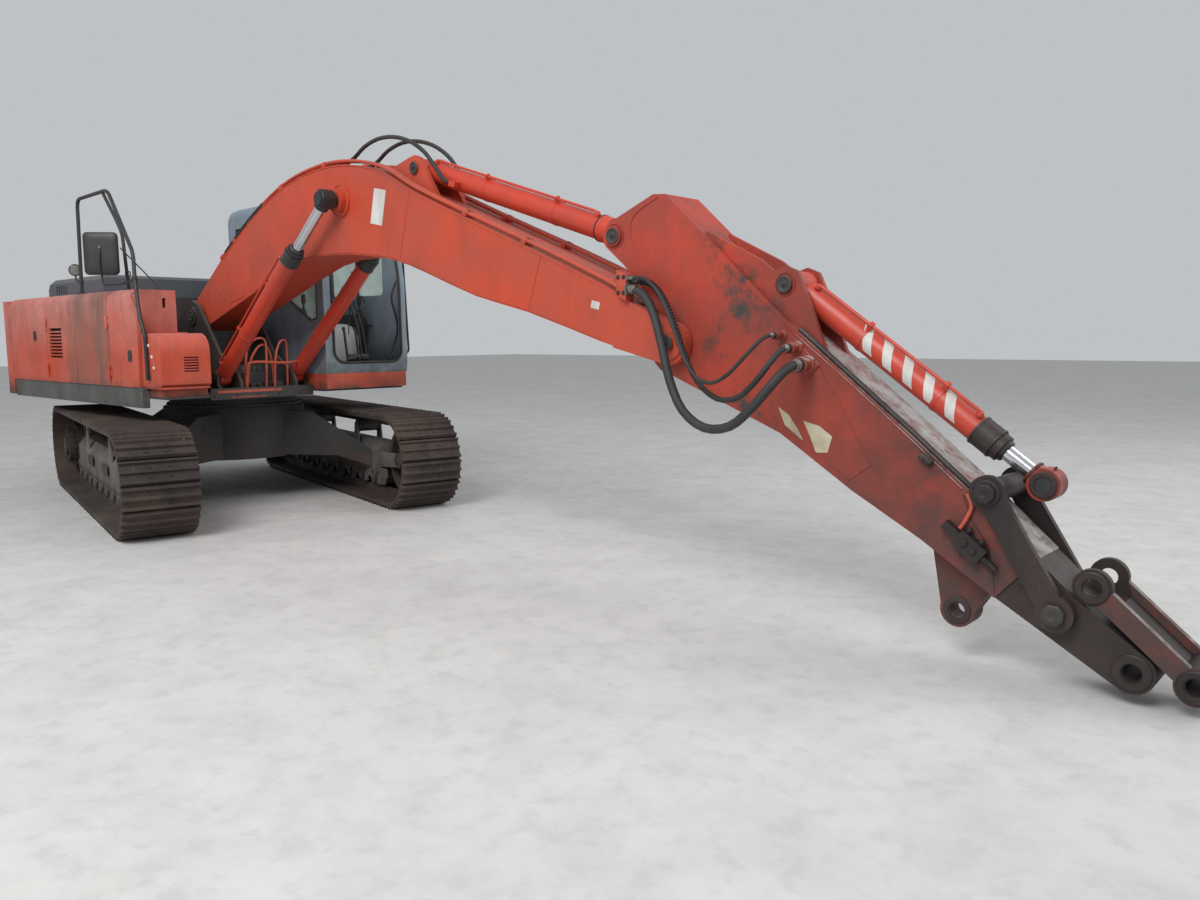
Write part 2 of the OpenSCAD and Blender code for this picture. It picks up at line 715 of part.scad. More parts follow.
module exhaust_pipe() {
    color(dark) difference() {
        union() {
            zbar(exhaust_at, 95, hood_z1 + seat_gap, hood_z1 + 12);
            zbar(exhaust_at, 60, hood_z1 + 11, hood_z1 + 400);
        }
        zbar(exhaust_at, 52, hood_z1 + 60, hood_z1 + 500);
        translate([exhaust_at[0] + 60, exhaust_at[1], hood_z1 + 400]) rotate([0, 40, 0])
            translate([-200, -100, 0]) cube([300, 200, 200]);
    }
}

module pump_door() {
    color(orange) mirror([0, 1, 0]) {
        front(rear_edge, rear_seam - seam) wall_form();
        knuckle_moving(rear_seam, -1);
    }
}

// Front panel whose top corner is cut off above the step
module front_right_door() {
    color(orange) mirror([0, 1, 0]) {
        intersection() {
            front(door_seam + seam, front_x + 10) wall_form();
            side(half_w - 300, half_w + 50) polygon([[door_seam, 1200], [front_x - 35, 1200], [front_x - 30, 1326],
                [front_x, 1860], [757, 2054], [690, panel_top], [door_seam, panel_top]]);
        }
        knuckle_moving(door_seam, 1);
    }
}

module left_door() {
    color(orange) {
        front(rear_edge, rear_seam - seam) wall_form();
        knuckle_moving(-tail_in + 5, 1);
    }
}

box_out = half_w - 32;
box_low = 1240;
box_front = 1310;
box_form = concat([[step_x + seat_gap, box_low], [box_front - 30, box_low], [box_front, box_low + 22]],
    arc([box_front - 160, step_z - 160], 160, 0, 90, 8), [[step_x + seat_gap, step_z]]);

// Tool box ahead of the right panels, with a rounded front edge and a small vent
module tool_box() {
    color(orange) mirror([0, 1, 0]) difference() {
        side(-box_in - 50, box_out) polygon(box_form);
        side(-box_in - 20, box_out - sheet_t) polygon(inset(box_form, sheet_t));
        for (i = [0 : 5]) front(box_front - 110, box_front + 20) translate([984, 1372 + i * 24]) square([136, 12]);
    }
    color(dark) {
        block([step_x + 60, 5 - skirt_in, band_low], [box_front - 40, box_in + 30, box_low]);
        block([830, -1230, step_z], [1070, -960, step_z + 8]);
    }
}

cab_pts = [[cab_x0, cab_floor], [cab_front - 20, cab_floor], [cab_front, cab_floor + 110],
    [cab_front - 15, 2250], [cab_front - 150, cab_top - 110], [cab_front - 230, cab_top - 30],
    [cab_front - 330, cab_top], [cab_x0 + 180, cab_top], [cab_x0 + 50, cab_top - 40],
    [cab_x0, cab_top - 150]];

// Front view of the cab with rounded roof edges, set in by t
module cab_over(t) {
    r = 110 - t;
    polygon(concat([[cab_y0 + t, cab_floor + t], [cab_y1 - t, cab_floor + t]],
        arc([cab_y1 - t - r, cab_top - t - r], r, 0, 90, 6), arc([cab_y0 + t + r, cab_top - t - r], r, 90, 180, 6)));
}

door_x0 = -190;
door_x1 = 1000;
door_z0 = cab_floor + 60;
door_z1 = cab_top - 180;
cab_hinges = [1650, 2450];
glass_top = cab_top - 230;
right_glass = [[cab_x0 + 170, 2090], [560, 2080], [cab_front - 260, 1840], [cab_front - 140, 1860],
    [cab_front - 140, 2250], [cab_front - 260, glass_top], [cab_x0 + 170, glass_top]];
quarter_glass = [[cab_x0 + 110, 2140], [door_x0 - 110, glass_top]];
rear_glass = [[cab_y0 + 100, 2140], [cab_y1 - 100, glass_top]];
door_glass = [[door_x0 + 90, 2120], [door_x1 - 90, door_z1 - 90]];

// Cab with walls as thick as its door, its openings cut through them, and the door's fixed hinges
module cab_shell() {
    color(grey) {
        difference() {
            intersection() {
                side(cab_y0, cab_y1) polygon(cab_pts);
                front(cab_x0 - cut, cab_front + cut) cab_over(0);
            }
            intersection() {
                side(cab_y0, cab_y1) polygon(inset(cab_pts, cab_wall));
                front(cab_x0 - cut, cab_front + cut) cab_over(cab_wall);
            }
            front(cab_front - 330, cab_front + 50) panel([cab_y0 + 95, cab_floor + 110], [cab_y1 - 75, cab_top - 160],
                window_round);
            side(cab_y0 - 10, cab_y0 + 100) polygon(right_glass);
            side(cab_y1 - 100, cab_y1 + 10) {
                panel([door_x0 - seam, door_z0 - seam], [door_x1 + seam, door_z1 + seam], 60);
                panel(quarter_glass[0], quarter_glass[1], 60);
            }
            front(cab_x0 - 10, cab_x0 + 100) panel(rear_glass[0], rear_glass[1], window_round);
        }
        fixed_knuckles(door_x0, cab_y1, 1, cab_hinges);
    }
}

module cab_door() {
    color(grey) {
        difference() {
            side(cab_y1 - cab_wall, cab_y1) panel([door_x0, door_z0], [door_x1, door_z1], 60);
            side(cab_y1 - 100, cab_y1 + 10) panel(door_glass[0], door_glass[1], 60);
        }
        moving_knuckles(door_x0, cab_y1, 1, cab_hinges);
    }
}

glass_t = 6;
glass_in = 14;
rim = [seat_gap, seat_gap];

// Panes that are left in the cab: right side, rear and the left rear quarter
module cab_windows() {
    color(pane) {
        side(cab_y0 + glass_in, cab_y0 + glass_in + glass_t) polygon(inset(right_glass, seat_gap));
        side(cab_y1 - glass_in - glass_t, cab_y1 - glass_in)
            panel(quarter_glass[0] + rim, quarter_glass[1] - rim, 60);
        front(cab_x0 + glass_in, cab_x0 + glass_in + glass_t)
            panel(rear_glass[0] + rim, rear_glass[1] - rim, window_round);
    }
}

module door_window() {
    color(pane) side(cab_y1 - glass_in - glass_t, cab_y1 - glass_in)
        panel(door_glass[0] + rim, door_glass[1] - rim, 60);
}

seat_x = 130;
seat_w = 540;
seat_y = cab_y0 + (cab_w - seat_w) / 2;
cushion_z = 1640;
floor_in = cab_floor + cab_wall;

// Seat, its base, the two control stands with their levers, and the pedals
module operator_seat() {
    color(dark) {
        side(seat_y, seat_y + seat_w) polygon(concat([[seat_x, cushion_z], [seat_x + 520, cushion_z]],
            arc([seat_x + 520, cushion_z + 60], 60, -60, 90, 6), [[seat_x + 120, cushion_z + 130],
            [seat_x + 20, cushion_z + 130]]));
        side(seat_y + 30, seat_y + seat_w - 30) polygon([[seat_x + 10, cushion_z + 130 - cut],
            [seat_x + 120, cushion_z + 130 - cut], [seat_x + 10, cushion_z + 700], [seat_x - 40, cushion_z + 730],
            [seat_x - 90, cushion_z + 700]]);
        block([seat_x + 60, seat_y + 90, floor_in + seat_gap], [seat_x + 480, seat_y + seat_w - 90, cushion_z + cut]);
        for (y = [seat_y - 125, seat_y + seat_w + 15]) {
            side(y, y + 110) polygon([[seat_x + 40, floor_in + seat_gap], [seat_x + 420, floor_in + seat_gap],
                [seat_x + 560, cushion_z + 200], [seat_x + 540, cushion_z + 250], [seat_x + 20, cushion_z + 230]]);
            zbar([seat_x + 500, y + 55], 14, cushion_z + 220, cushion_z + 400);
            zbar([seat_x + 500, y + 55], 26, cushion_z + 380, cushion_z + 480);
        }
        block([940, seat_y + 90, floor_in + seat_gap], [1120, seat_y + seat_w - 90, floor_in + 70]);
        both(58, 24, seat_y + seat_w / 2) polygon([[1000, floor_in + 60], [1030, floor_in + 60],
            [960, floor_in + 420], [930, floor_in + 410]]);
    }
}

rail_r = 17;
rail_y = -half_w + 105;
leg_y = -half_w + 12;
mirror_at = [500, -1450, 2430];
mirror_h = 190;

module foot(x, y) {
    zbar([x, y], 30, panel_top + seat_gap, panel_top + 12);
}

// Guard rail at the right front with the mirror's arm, and the grab rail at the cab's left front corner
module handrails() {
    color(dark) {
        tube(rounded([[-560, rail_y, panel_top + 6], [-520, rail_y, 3025], [222, rail_y, 3040],
            [790, -half_w + 70, 2430], [830, -half_w + 55, 2200], [front_x + 30, leg_y, 1860],
            [1075, leg_y, 1700], [1075, leg_y, 1310]], 70), rail_r, 10);
        tube(rounded([[110, rail_y, 3038 - rail_r], [330, rail_y + 20, 2760], [370, -1200, 2640],
            [420, -1190, panel_top + 6]], 50), rail_r - 2, 10);
        foot(-560, rail_y);
        foot(420, -1190);
        block([1057, leg_y, 1300], [1093, -box_out - seat_gap, 1360]);
        tube(rounded([mirror_at - [0, 0, mirror_h + seat_gap], mirror_at - [0, 0, mirror_h + 90],
            [700, -1370, 2150], [834, -half_w + 55, 2190]], 40), 9);
        tube(rounded([[1130, cab_y1 + seat_gap, 2500], [1130, cab_y1 + 80, 2500], [1190, cab_y1 + 80, 1500],
            [1190, cab_y1 + seat_gap, 1500]], 40), 12);
    }
}

module side_mirror() {
    color(dark) translate(mirror_at) rotate([0, 0, 48]) side(-22, 22) panel([-150, -mirror_h], [150, mirror_h], 40);
}

boom_low = [[1259, 2092], [2016, 2317], [2541, 2354], [3006, 2325], [3447, 2260], [3842, 2141], [4397, 1952],
    [4931, 1827], [5587, 1630]];
boom_up = [[5641, 1973], [5064, 2213], [4274, 2523], [3676, 2768], [3276, 2962], [2827, 3062],
    [2349, 3072], [1805, 2981], [1212, 2745], [632, 2422]];
low_line = smooth(boom_low, 1);
up_line = smooth(boom_up, 1);
boom_pts = concat(low_line, [[5760, 1584], [5850, 1670], [5850, 1865]], up_line, arc(foot_pin, 150, 125, 275, 8));
arm_boss_y = arm_w / 2 + 6;
tip_in = arm_boss_y + 6;
tip_t = web_y + 6 - tip_in;
head_boss = 60;
head_boss_r = 95;
arm_lug_in = arm_barrel_r + 22;
arm_lug_t = 36;
arch_y = 115;
arch_x = 2620;
arch_z = 3105;

// Box of the boom with the foot boss, the boom cylinders' bosses, the arm cylinder's lugs and the tip ears
module boom_box() {
    color(orange) {
        difference() {
            union() {
                difference() {
                    side(boom_y - web_y, boom_y + web_y) polygon(boom_pts);
                    side(boom_y - web_y + plate_t, boom_y + web_y - plate_t) polygon(inset(boom_pts, plate_t));
                }
                both(web_y - 60, foot_boss_y - web_y + 60) translate(foot_pin) circle(r = 112, $fn = fa);
            }
            ybar(foot_pin, pin_r + pin_gap, boom_y - 400, boom_y + 400);
        }
        both(web_y - cut, head_boss + cut) translate(boom_cyl_head) circle(r = head_boss_r, $fn = fa);
        both(web_y - cut, 12) translate(boom_cyl_head) circle(r = head_boss_r + 35, $fn = fa);
        difference() {
            union() {
                both(tip_in, tip_t) polygon(concat([[5700, 1590]], arc(tip_pin, 130, -110, 80, 12), [[5700, 1920]]));
                both(tip_in + tip_t - cut, 12) translate(tip_pin) circle(r = 105, $fn = fa);
            }
            ybar(tip_pin, pin_r + pin_gap, boom_y - 400, boom_y + 400);
        }
        both(arm_lug_in, arm_lug_t) polygon([[3200, 2960], [3900, 2660], [3720, 2930], [3660, 3025],
            [3600, 3050], [3530, 3040]]);
        ybar(arm_cyl_foot, cyl_pin_r, boom_y - arm_lug_in - arm_lug_t - 14, boom_y + arm_lug_in + arm_lug_t + 14);
        both(arch_y - 25, 50) translate([arch_x - 60, 3040]) square([60, 90]);
    }
}

pipe_lift = 30;
first_up = len(low_line) + 2;
pipe_line = [for (i = [first_up : first_up + len(up_line) - 1]) inset(boom_pts, -pipe_lift)[i]];
block_x = 5840;

// Pad of height h that sits on the boom's top at x, w long, from y0 to y1
module pad(x, z, w, h, y0, y1) {
    side(y0, y1) intersection() {
        difference() {
            polygon(inset(boom_pts, -h));
            polygon(inset(boom_pts, -seat_gap));
        }
        translate([x - w, z - 150]) square([w, 450]);
    }
}

// Pipes along the top of the boom, two on each side, on clamps, with the hose block at the tip
module boom_pipes() {
    color(orange) {
        for (s = [-1, 1]) {
            y = boom_y + s * (web_y - 24);
            for (k = [0, 1]) tube([for (q = concat(s < 0 && k == 0 ? [[block_x - 65, 1940]] : [], pipe_line))
                [q[0], y - s * k * pipe_step, q[1]]], pipe_r);
            for (p = [[920, 2590], [1800, 2980], [2500, 3072], [4290, 2517], [4900, 2277]])
                pad(p[0], p[1], 44, pipe_lift + pipe_r - 4, y - s * pipe_step / 2 - 42, y - s * pipe_step / 2 + 42);
        }
        pad(block_x, 1870, 80, 160, boom_y - web_y - 46, boom_y - web_y + 40);
    }
}

// Hose that leaves one flat face at a and meets another at b, by way of the points between them
module hose(a, pts, b, r) {
    color(dark) tube(concat([a], smooth(pts, 1), [b]), r);
}

// Where the elbow hoses meet the arm's ports: [x, z, port radius]
elbow_ports = [[7040, 1500, 36], [6975, 1590, 24], [6885, 1660, 18]];
port_y = boom_y - 290;

module elbow_hose_1() {
    p = elbow_ports[0];
    hose([block_x, -408, 1945], [[5880, -408, 1945], [5990, -430, 1895], [6095, -470, 1770], [6180, -505, 1590],
        [6260, -535, 1400], [6380, -570, 1235], [6560, -610, 1150], [6750, -645, 1170], [6890, -655, 1270],
        [6985, -620, 1390], [7030, -545, 1475], [p[0], port_y - 30, p[1]]], [p[0], port_y, p[1]], hose_r);
}

module elbow_hose_2() {
    p = elbow_ports[1];
    hose([block_x, -374, 1995], [[5880, -374, 1995], [6000, -395, 1975], [6120, -430, 1890], [6230, -465, 1740],
        [6320, -480, 1560], [6430, -500, 1400], [6590, -535, 1310], [6750, -575, 1320], [6870, -600, 1400],
        [6945, -575, 1500], [6972, -515, 1570], [p[0], port_y - 25, p[1]]], [p[0], port_y, p[1]], 16);
}

module elbow_hose_3() {
    p = elbow_ports[2];
    hose([block_x, -418, 2012], [[5880, -418, 2012], [6000, -445, 2000], [6140, -490, 1910], [6270, -535, 1740],
        [6370, -565, 1560], [6480, -585, 1430], [6600, -600, 1400], [6710, -605, 1450], [6800, -590, 1540],
        [6860, -545, 1620], [6882, -490, 1655], [p[0], port_y - 20, p[1]]], [p[0], port_y, p[1]], 11);
}

arm_cyl_u = unit(arm_cyl_head - arm_cyl_foot);
arm_port = 420;
arch_end = arm_cyl_foot + arm_cyl_u * (arm_port - 2) - left_of(arm_cyl_u) * 24;
arch_back = arch_end - arm_cyl_u * 60;

// Hose from the boom's top over the lug to the port of the arm cylinder, at y from the middle plane
module arch_hose(s) {
    y = boom_y + s * arch_y;
    hose([arch_x, y, arch_z], [for (q = [[2660, arch_z], [2770, 3140], [2910, 3205], [3100, 3242], [3310, 3228],
        [3510, 3168], [3680, 3070], [3790, 2965], [3865, 2880], arch_back]) [q[0], y, q[1]]],
        [arch_end[0], y, arch_end[1]], 16);
}

module arch_hose_right() { arch_hose(-1); }
module arch_hose_left() { arch_hose(1); }

// Cylinder barrel with its eye, gland and bore for the rod
module barrel(p, q, y, r, l, eye_w) {
    along(p, q, y) difference() {
        union() {
            xbar(r - 14, 40, 90);
            xbar(r, 85, l);
            xbar(r + 8, l - 150, l - 40);
            xbar(rod_r + 16, l - 40, l + 8);
            ybar([0, 0], eye_r, -eye_w, eye_w);
        }
        xbar(rod_r + 0.5, 180, l + 20);
        ybar([0, 0], cyl_pin_r + pin_gap, -eye_w - cut, eye_w + cut);
    }
}

// Piston rod from length l in the barrel to its eye at q
module rod(p, q, y, l, eye_w) {
    d = dist(p, q);
    along(p, q, y) {
        xbar(rod_r, l, d - eye_r + 10);
        xbar(rod_r + 18, d - eye_r - 12, d - eye_r + 30);
        ybar([d, 0], eye_r, -eye_w, eye_w);
    }
}

gland_gap = 30;
boom_barrel_l = dist(boom_cyl_foot, boom_cyl_head) - boom_retract - eye_r - gland_gap;
arm_barrel_l = dist(arm_cyl_foot, arm_cyl_head) - eye_r - gland_gap;
bucket_retract = 120;
bucket_barrel_l = dist(bucket_cyl_foot, bucket_cyl_head) - bucket_retract - eye_r - 2 * gland_gap;
rod_start = 200;
rod_eye_half = 60;
foot_eye_half = arm_lug_in - 10;

module boom_cylinder_barrels() {
    color(orange) for (s = [-1, 1])
        barrel(boom_cyl_foot, boom_cyl_head, boom_y + s * cyl_y, boom_barrel_r, boom_barrel_l, eye_half);
}

module boom_cylinder_rods() {
    color(steel) for (s = [-1, 1])
        rod(boom_cyl_foot, boom_cyl_head, boom_y + s * cyl_y, rod_start + boom_retract + 20, eye_half);
    color(dark) both(web_y + head_boss + 4, cyl_y + eye_half + 22 - web_y - head_boss)
        translate(boom_cyl_head) circle(r = cyl_pin_r + 14, $fn = fa);
}

module arm_cylinder_barrel() {
    color(orange) {
        barrel(arm_cyl_foot, arm_cyl_head, boom_y, arm_barrel_r, arm_barrel_l, foot_eye_half);
        along(arm_cyl_foot, arm_cyl_head, boom_y) for (s = [-1, 1])
            translate([arm_port, s > 0 ? 60 : -60 - arch_y + 40, -44]) cube([70, arch_y - 40, 40]);
    }
}

module arm_cylinder_rod() {
    color(steel) rod(arm_cyl_foot, arm_cyl_head, boom_y, rod_start, rod_eye_half);
}

nose_joint_low = [8074, 391];
nose_joint_top = [8260, 607];
arm_top_line = [[7923, 909], [7598, 1178], [6967, 1682]];
arm_pts = concat([[5720, 2110], [5960, 1880]], arc(tip_pin, 200, 170, 265, 6),
    [[6871, 1117], [7310, 840], [7696, 629], nose_joint_low, nose_joint_top], arm_top_line,
    [[6052, 2505], [5960, 2512], [5640, 2385]], arc(arm_cyl_head, 95, 115, 240, 6));
slot_half = rod_eye_half + 12;

// Box of the arm, slotted behind for the cylinder's eye, with the pivot pin and thick plates at its pins
module arm_box() {
    color(orange) {
        difference() {
            side(boom_y - arm_w / 2, boom_y + arm_w / 2) polygon(arm_pts);
            side(boom_y - arm_w / 2 + plate_t, boom_y + arm_w / 2 - plate_t) polygon(inset(arm_pts, plate_t));
            side(boom_y - slot_half, boom_y + slot_half)
                polygon([[5400, 2000], [5925, 1740], [6010, 2400], [5400, 2700]]);
        }
        both(arm_w / 2 - 40, arm_boss_y - arm_w / 2 + 40) translate(tip_pin) circle(r = 120, $fn = fa);
        both(arm_w / 2 - cut, 20) translate(arm_cyl_head) circle(r = 62, $fn = fa);
        both(arm_w / 2 - cut, 5) polygon([[6330, 1600], [6700, 1290], [7300, 890], [7420, 980], [7100, 1500],
            [6900, 1710], [6400, 2130]]);
    }
    color(dark) ybar(tip_pin, pin_r, boom_y - web_y - 34, boom_y + web_y + 34);
}

nose_pts = concat([nose_joint_low], arc(nose_pin, nose_boss_r, 240, 400, 12), [[8445, 441], nose_joint_top]);
rocker_y = nose_w / 2 + 32;
nose_t = 24;

// Hollow nose with the bucket pin's boss and the rockers' pin
module arm_nose() {
    color(rust) difference() {
        union() {
            side(boom_y - nose_w / 2, boom_y + nose_w / 2) difference() {
                polygon(nose_pts);
                polygon(inset(nose_pts, nose_t));
            }
            both(nose_w / 2 - nose_t, nose_t) polygon(nose_pts);
            ybar(nose_pin, nose_boss_r - 4, boom_y - nose_w / 2, boom_y + nose_w / 2);
            ybar(rocker_pin, 78, boom_y - rocker_y + 6, boom_y + rocker_y - 6);
        }
        ybar(nose_pin, nose_bore_r, boom_y - 400, boom_y + 400);
    }
    color(dark) ybar(rocker_pin, cyl_pin_r, boom_y - rocker_y - rocker_t - 16, boom_y + rocker_y + rocker_t + 16);
}

lug_half = 60;

// Lugs for the bucket cylinder's foot, and the lifting lug under the arm, cut to the arm's outline
module bucket_cylinder_lugs() {
    color(orange) both(arm_lug_in, arm_lug_t - 6) difference() {
        polygon([[6330, 2200], [7160, 1480], [7000, 1880], [6940, 2010], [6866, 2040], [6790, 2015], [6700, 2085],
            [6330, 2270]]);
        polygon(inset(arm_pts, -seat_gap));
    }
    color(dark) ybar(bucket_cyl_foot, cyl_pin_r, boom_y - arm_lug_in - arm_lug_t - 8,
        boom_y + arm_lug_in + arm_lug_t + 8);
    color(rust) side(boom_y - lug_half, boom_y + lug_half) difference() {
        union() {
            translate(lug_pin) circle(r = 88, $fn = fa);
            polygon([lug_pin + [-85, 20], lug_pin + [30, -83], [8050, 440], [7705, 660]]);
        }
        translate(lug_pin) circle(r = nose_bore_r - 2, $fn = fa);
        polygon(inset(arm_pts, -seat_gap));
    }
}

first_top = len(arm_pts) - 13;

// Pipe along the arm's upper right edge, the valve on its right side, and the hoses' ports
module arm_pipes() {
    color(orange) tube([for (i = [first_top : first_top + 2]) let (q = inset(arm_pts, -pipe_r - 0.5)[i])
        [q[0], boom_y - arm_w / 2 + 20, q[1]]], pipe_r);
    color(dark) along([7900, 677], [8100, 520], boom_y - arm_w / 2) {
        translate([0, -50, -45]) cube([150, 50 - seat_gap, 90]);
        translate([-90, -40, -30]) cube([91, 40 - seat_gap, 50]);
        translate([0, -25, 0]) xbar(16, 149, 235);
    }
    color(orange) for (p = elbow_ports) ybar([p[0], p[1]], p[2], port_y, boom_y - arm_w / 2 - 4 - seat_gap);
}

link_u = unit(link_low - link_top);
link_n = left_of(link_u);
link_boss = 86;
link_waist = 46;

// Loose link that lies on the nose: two side plates, a web and the lower boss
module bucket_link() {
    color(rust) {
        both(nose_w / 2 - rocker_t, rocker_t) difference() {
            bar(link_top, link_low, link_boss, link_waist);
            for (p = [link_top, link_low]) translate(p) circle(r = nose_bore_r, $fn = fa);
        }
        side(boom_y - nose_w / 2 + 2, boom_y + nose_w / 2 - 2) polygon([link_top + link_u * 130 - link_n * 8,
            link_low - link_u * 60 - link_n * 8, link_low - link_u * 60 + link_n * 8,
            link_top + link_u * 130 + link_n * 8]);
        difference() {
            ybar(link_low, link_boss, boom_y - nose_w / 2 + 2, boom_y + nose_w / 2 - 2);
            ybar(link_low, nose_bore_r, boom_y - nose_w / 2, boom_y + nose_w / 2);
        }
    }
}

tube_r = 58;

module rockers() {
    color(rust) {
        both(rocker_y, rocker_t) difference() {
            bar(rocker_pin, rocker_head, 84, 60);
            translate(rocker_pin) circle(r = cyl_pin_r + pin_gap, $fn = fa);
        }
        ybar(rocker_head, tube_r, boom_y - rocker_y - cut, boom_y + rocker_y + cut);
        both(rocker_y + rocker_t - cut, 18) translate(rocker_head) circle(r = 46, $fn = fa);
    }
}

module bucket_cylinder_barrel() {
    color(orange) barrel(bucket_cyl_foot, bucket_cyl_head, boom_y, bucket_barrel_r, bucket_barrel_l,
        foot_eye_half);
}

module bucket_cylinder_rod() {
    color(steel) rod(bucket_cyl_foot, bucket_cyl_head, boom_y, rod_start + bucket_retract, rod_eye_half);
}

car_body();
track_frames();
tracks();
track_rollers();
sprockets();
idlers();
slew_ring();
deck();
side_skirts();
cab_base();
counterweight();
side_panels();
engine();
engine_hood();
exhaust_pipe();
pump_door();
front_right_door();
left_door();
tool_box();
cab_shell();
cab_door();
cab_windows();
door_window();
operator_seat();
handrails();
side_mirror();
boom_box();
boom_pipes();
elbow_hose_1();
elbow_hose_2();
elbow_hose_3();
arch_hose_right();
arch_hose_left();
boom_cylinder_barrels();
boom_cylinder_rods();
arm_cylinder_barrel();
arm_cylinder_rod();
arm_box();
arm_nose();
bucket_cylinder_lugs();
arm_pipes();
bucket_link();
rockers();
bucket_cylinder_barrel();
bucket_cylinder_rod();
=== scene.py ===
import random
from math import cos, hypot, pi, radians, sin

import bmesh
import bpy
from mathutils import Matrix, Vector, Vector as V


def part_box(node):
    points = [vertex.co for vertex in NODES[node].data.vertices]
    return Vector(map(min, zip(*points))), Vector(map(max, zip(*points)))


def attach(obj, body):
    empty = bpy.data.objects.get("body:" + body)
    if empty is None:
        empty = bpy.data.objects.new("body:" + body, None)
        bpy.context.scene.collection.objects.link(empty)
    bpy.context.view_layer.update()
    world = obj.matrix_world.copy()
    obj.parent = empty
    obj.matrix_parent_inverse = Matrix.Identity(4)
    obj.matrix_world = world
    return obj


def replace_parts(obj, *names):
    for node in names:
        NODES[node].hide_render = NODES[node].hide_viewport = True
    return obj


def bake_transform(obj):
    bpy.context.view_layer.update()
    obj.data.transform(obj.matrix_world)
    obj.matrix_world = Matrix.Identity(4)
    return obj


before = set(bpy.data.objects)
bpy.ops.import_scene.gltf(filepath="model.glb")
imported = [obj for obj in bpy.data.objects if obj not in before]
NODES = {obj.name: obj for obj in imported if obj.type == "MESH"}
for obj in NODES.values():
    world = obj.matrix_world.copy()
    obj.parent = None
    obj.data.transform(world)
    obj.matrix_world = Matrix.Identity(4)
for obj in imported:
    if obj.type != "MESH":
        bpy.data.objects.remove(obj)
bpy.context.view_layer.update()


# Camera.
# The photo's viewpoint: low, off the machine's front right corner, looking back along the boom.
# Its focal length was solved in pixels of the photo, 1200 of them wide.
SENSOR, FOCAL_PX, PHOTO_WIDTH = 36.0, 945.87, 1200.0
cam_at = V((9.6364, -4.9058, 1.6564))
yaw, pitch, roll = 2.3025, -0.119, -0.0061
ahead = V((cos(yaw) * cos(pitch), sin(yaw) * cos(pitch), sin(pitch)))
right = V((sin(yaw), -cos(yaw), 0.0))
up = right.cross(ahead)
cam_right = right * cos(roll) + up * sin(roll)
cam_up = up * cos(roll) - right * sin(roll)
cam_data = bpy.data.cameras.new("camera")
cam_data.sensor_width = SENSOR
cam_data.lens = SENSOR * FOCAL_PX / PHOTO_WIDTH
cam_data.clip_end = 200.0
camera = bpy.data.objects.new("camera", cam_data)
rows = [[cam_right[i], cam_up[i], -ahead[i], cam_at[i]] for i in range(3)]
camera.matrix_world = Matrix(rows + [[0, 0, 0, 1]])
bpy.context.scene.collection.objects.link(camera)
bpy.context.scene.camera = camera


# Stage.
# A pale floor, an even sky and two large soft lights, one high and one by the camera.
# The finishes of this and all other sections are procedural, in object coordinates, which are the row
# frame's metres: two shades of a colour, streaks and grime that gather low down, chips and a fine bump.
def shown(sockets, name):
    return next(s for s in sockets if s.enabled and s.name == name)


def wire(tree, kind, inputs=None, **settings):
    """A new node; each of its inputs gets a value or the socket that feeds it."""
    node = tree.nodes.new(kind)
    for key, value in settings.items():
        setattr(node, key, value)
    for key, value in (inputs or {}).items():
        socket = node.inputs[key] if isinstance(key, int) else shown(node.inputs, key)
        if isinstance(value, bpy.types.NodeSocket):
            tree.links.new(value, socket)
        else:
            socket.default_value = (*value, 1.0) if socket.type == "RGBA" else value
    return node


def noise(t, scale, detail=4.0, rough=0.55, stretch=(1, 1, 1)):
    place = wire(t, "ShaderNodeMapping",
                 {"Vector": wire(t, "ShaderNodeTexCoord").outputs["Object"], "Scale": stretch})
    return wire(t, "ShaderNodeTexNoise", {"Vector": place.outputs["Vector"], "Scale": scale, "Detail": detail,
                                          "Roughness": rough}).outputs["Fac"]


def ramp(t, fac, lo, hi, a=0.0, b=1.0):
    return wire(t, "ShaderNodeMapRange", {"Value": fac, "From Min": lo, "From Max": hi, "To Min": a,
                                          "To Max": b}).outputs["Result"]


def mix(t, fac, a, b):
    return wire(t, "ShaderNodeMix", {0: fac, 6: a, 7: b}, data_type="RGBA").outputs[2]


def calc(t, op, a, b):
    return wire(t, "ShaderNodeMath", {0: a, 1: b}, operation=op, use_clamp=True).outputs[0]


def times(t, a, b):
    return calc(t, "MULTIPLY", a, b)


def along(t, letter):
    place = wire(t, "ShaderNodeTexCoord").outputs["Object"]
    return wire(t, "ShaderNodeSeparateXYZ", {0: place}).outputs[letter]


def upward(t):
    normal = wire(t, "ShaderNodeNewGeometry").outputs["Normal"]
    return wire(t, "ShaderNodeSeparateXYZ", {0: normal}).outputs["Z"]


def band(t, letter, a0, a1, b1, b0):
    """1 between a1 and b1, falling to 0 at a0 and b0, along one axis."""
    return times(t, ramp(t, along(t, letter), a0, a1), ramp(t, along(t, letter), b1, b0, 1.0, 0.0))


def new_material(name):
    m = bpy.data.materials.new(name)
    m.use_nodes = True
    m.node_tree.nodes.clear()
    return m, m.node_tree


def surface(t, inputs):
    shader = wire(t, "ShaderNodeBsdfPrincipled", inputs)
    wire(t, "ShaderNodeOutputMaterial", {"Surface": shader.outputs["BSDF"]})


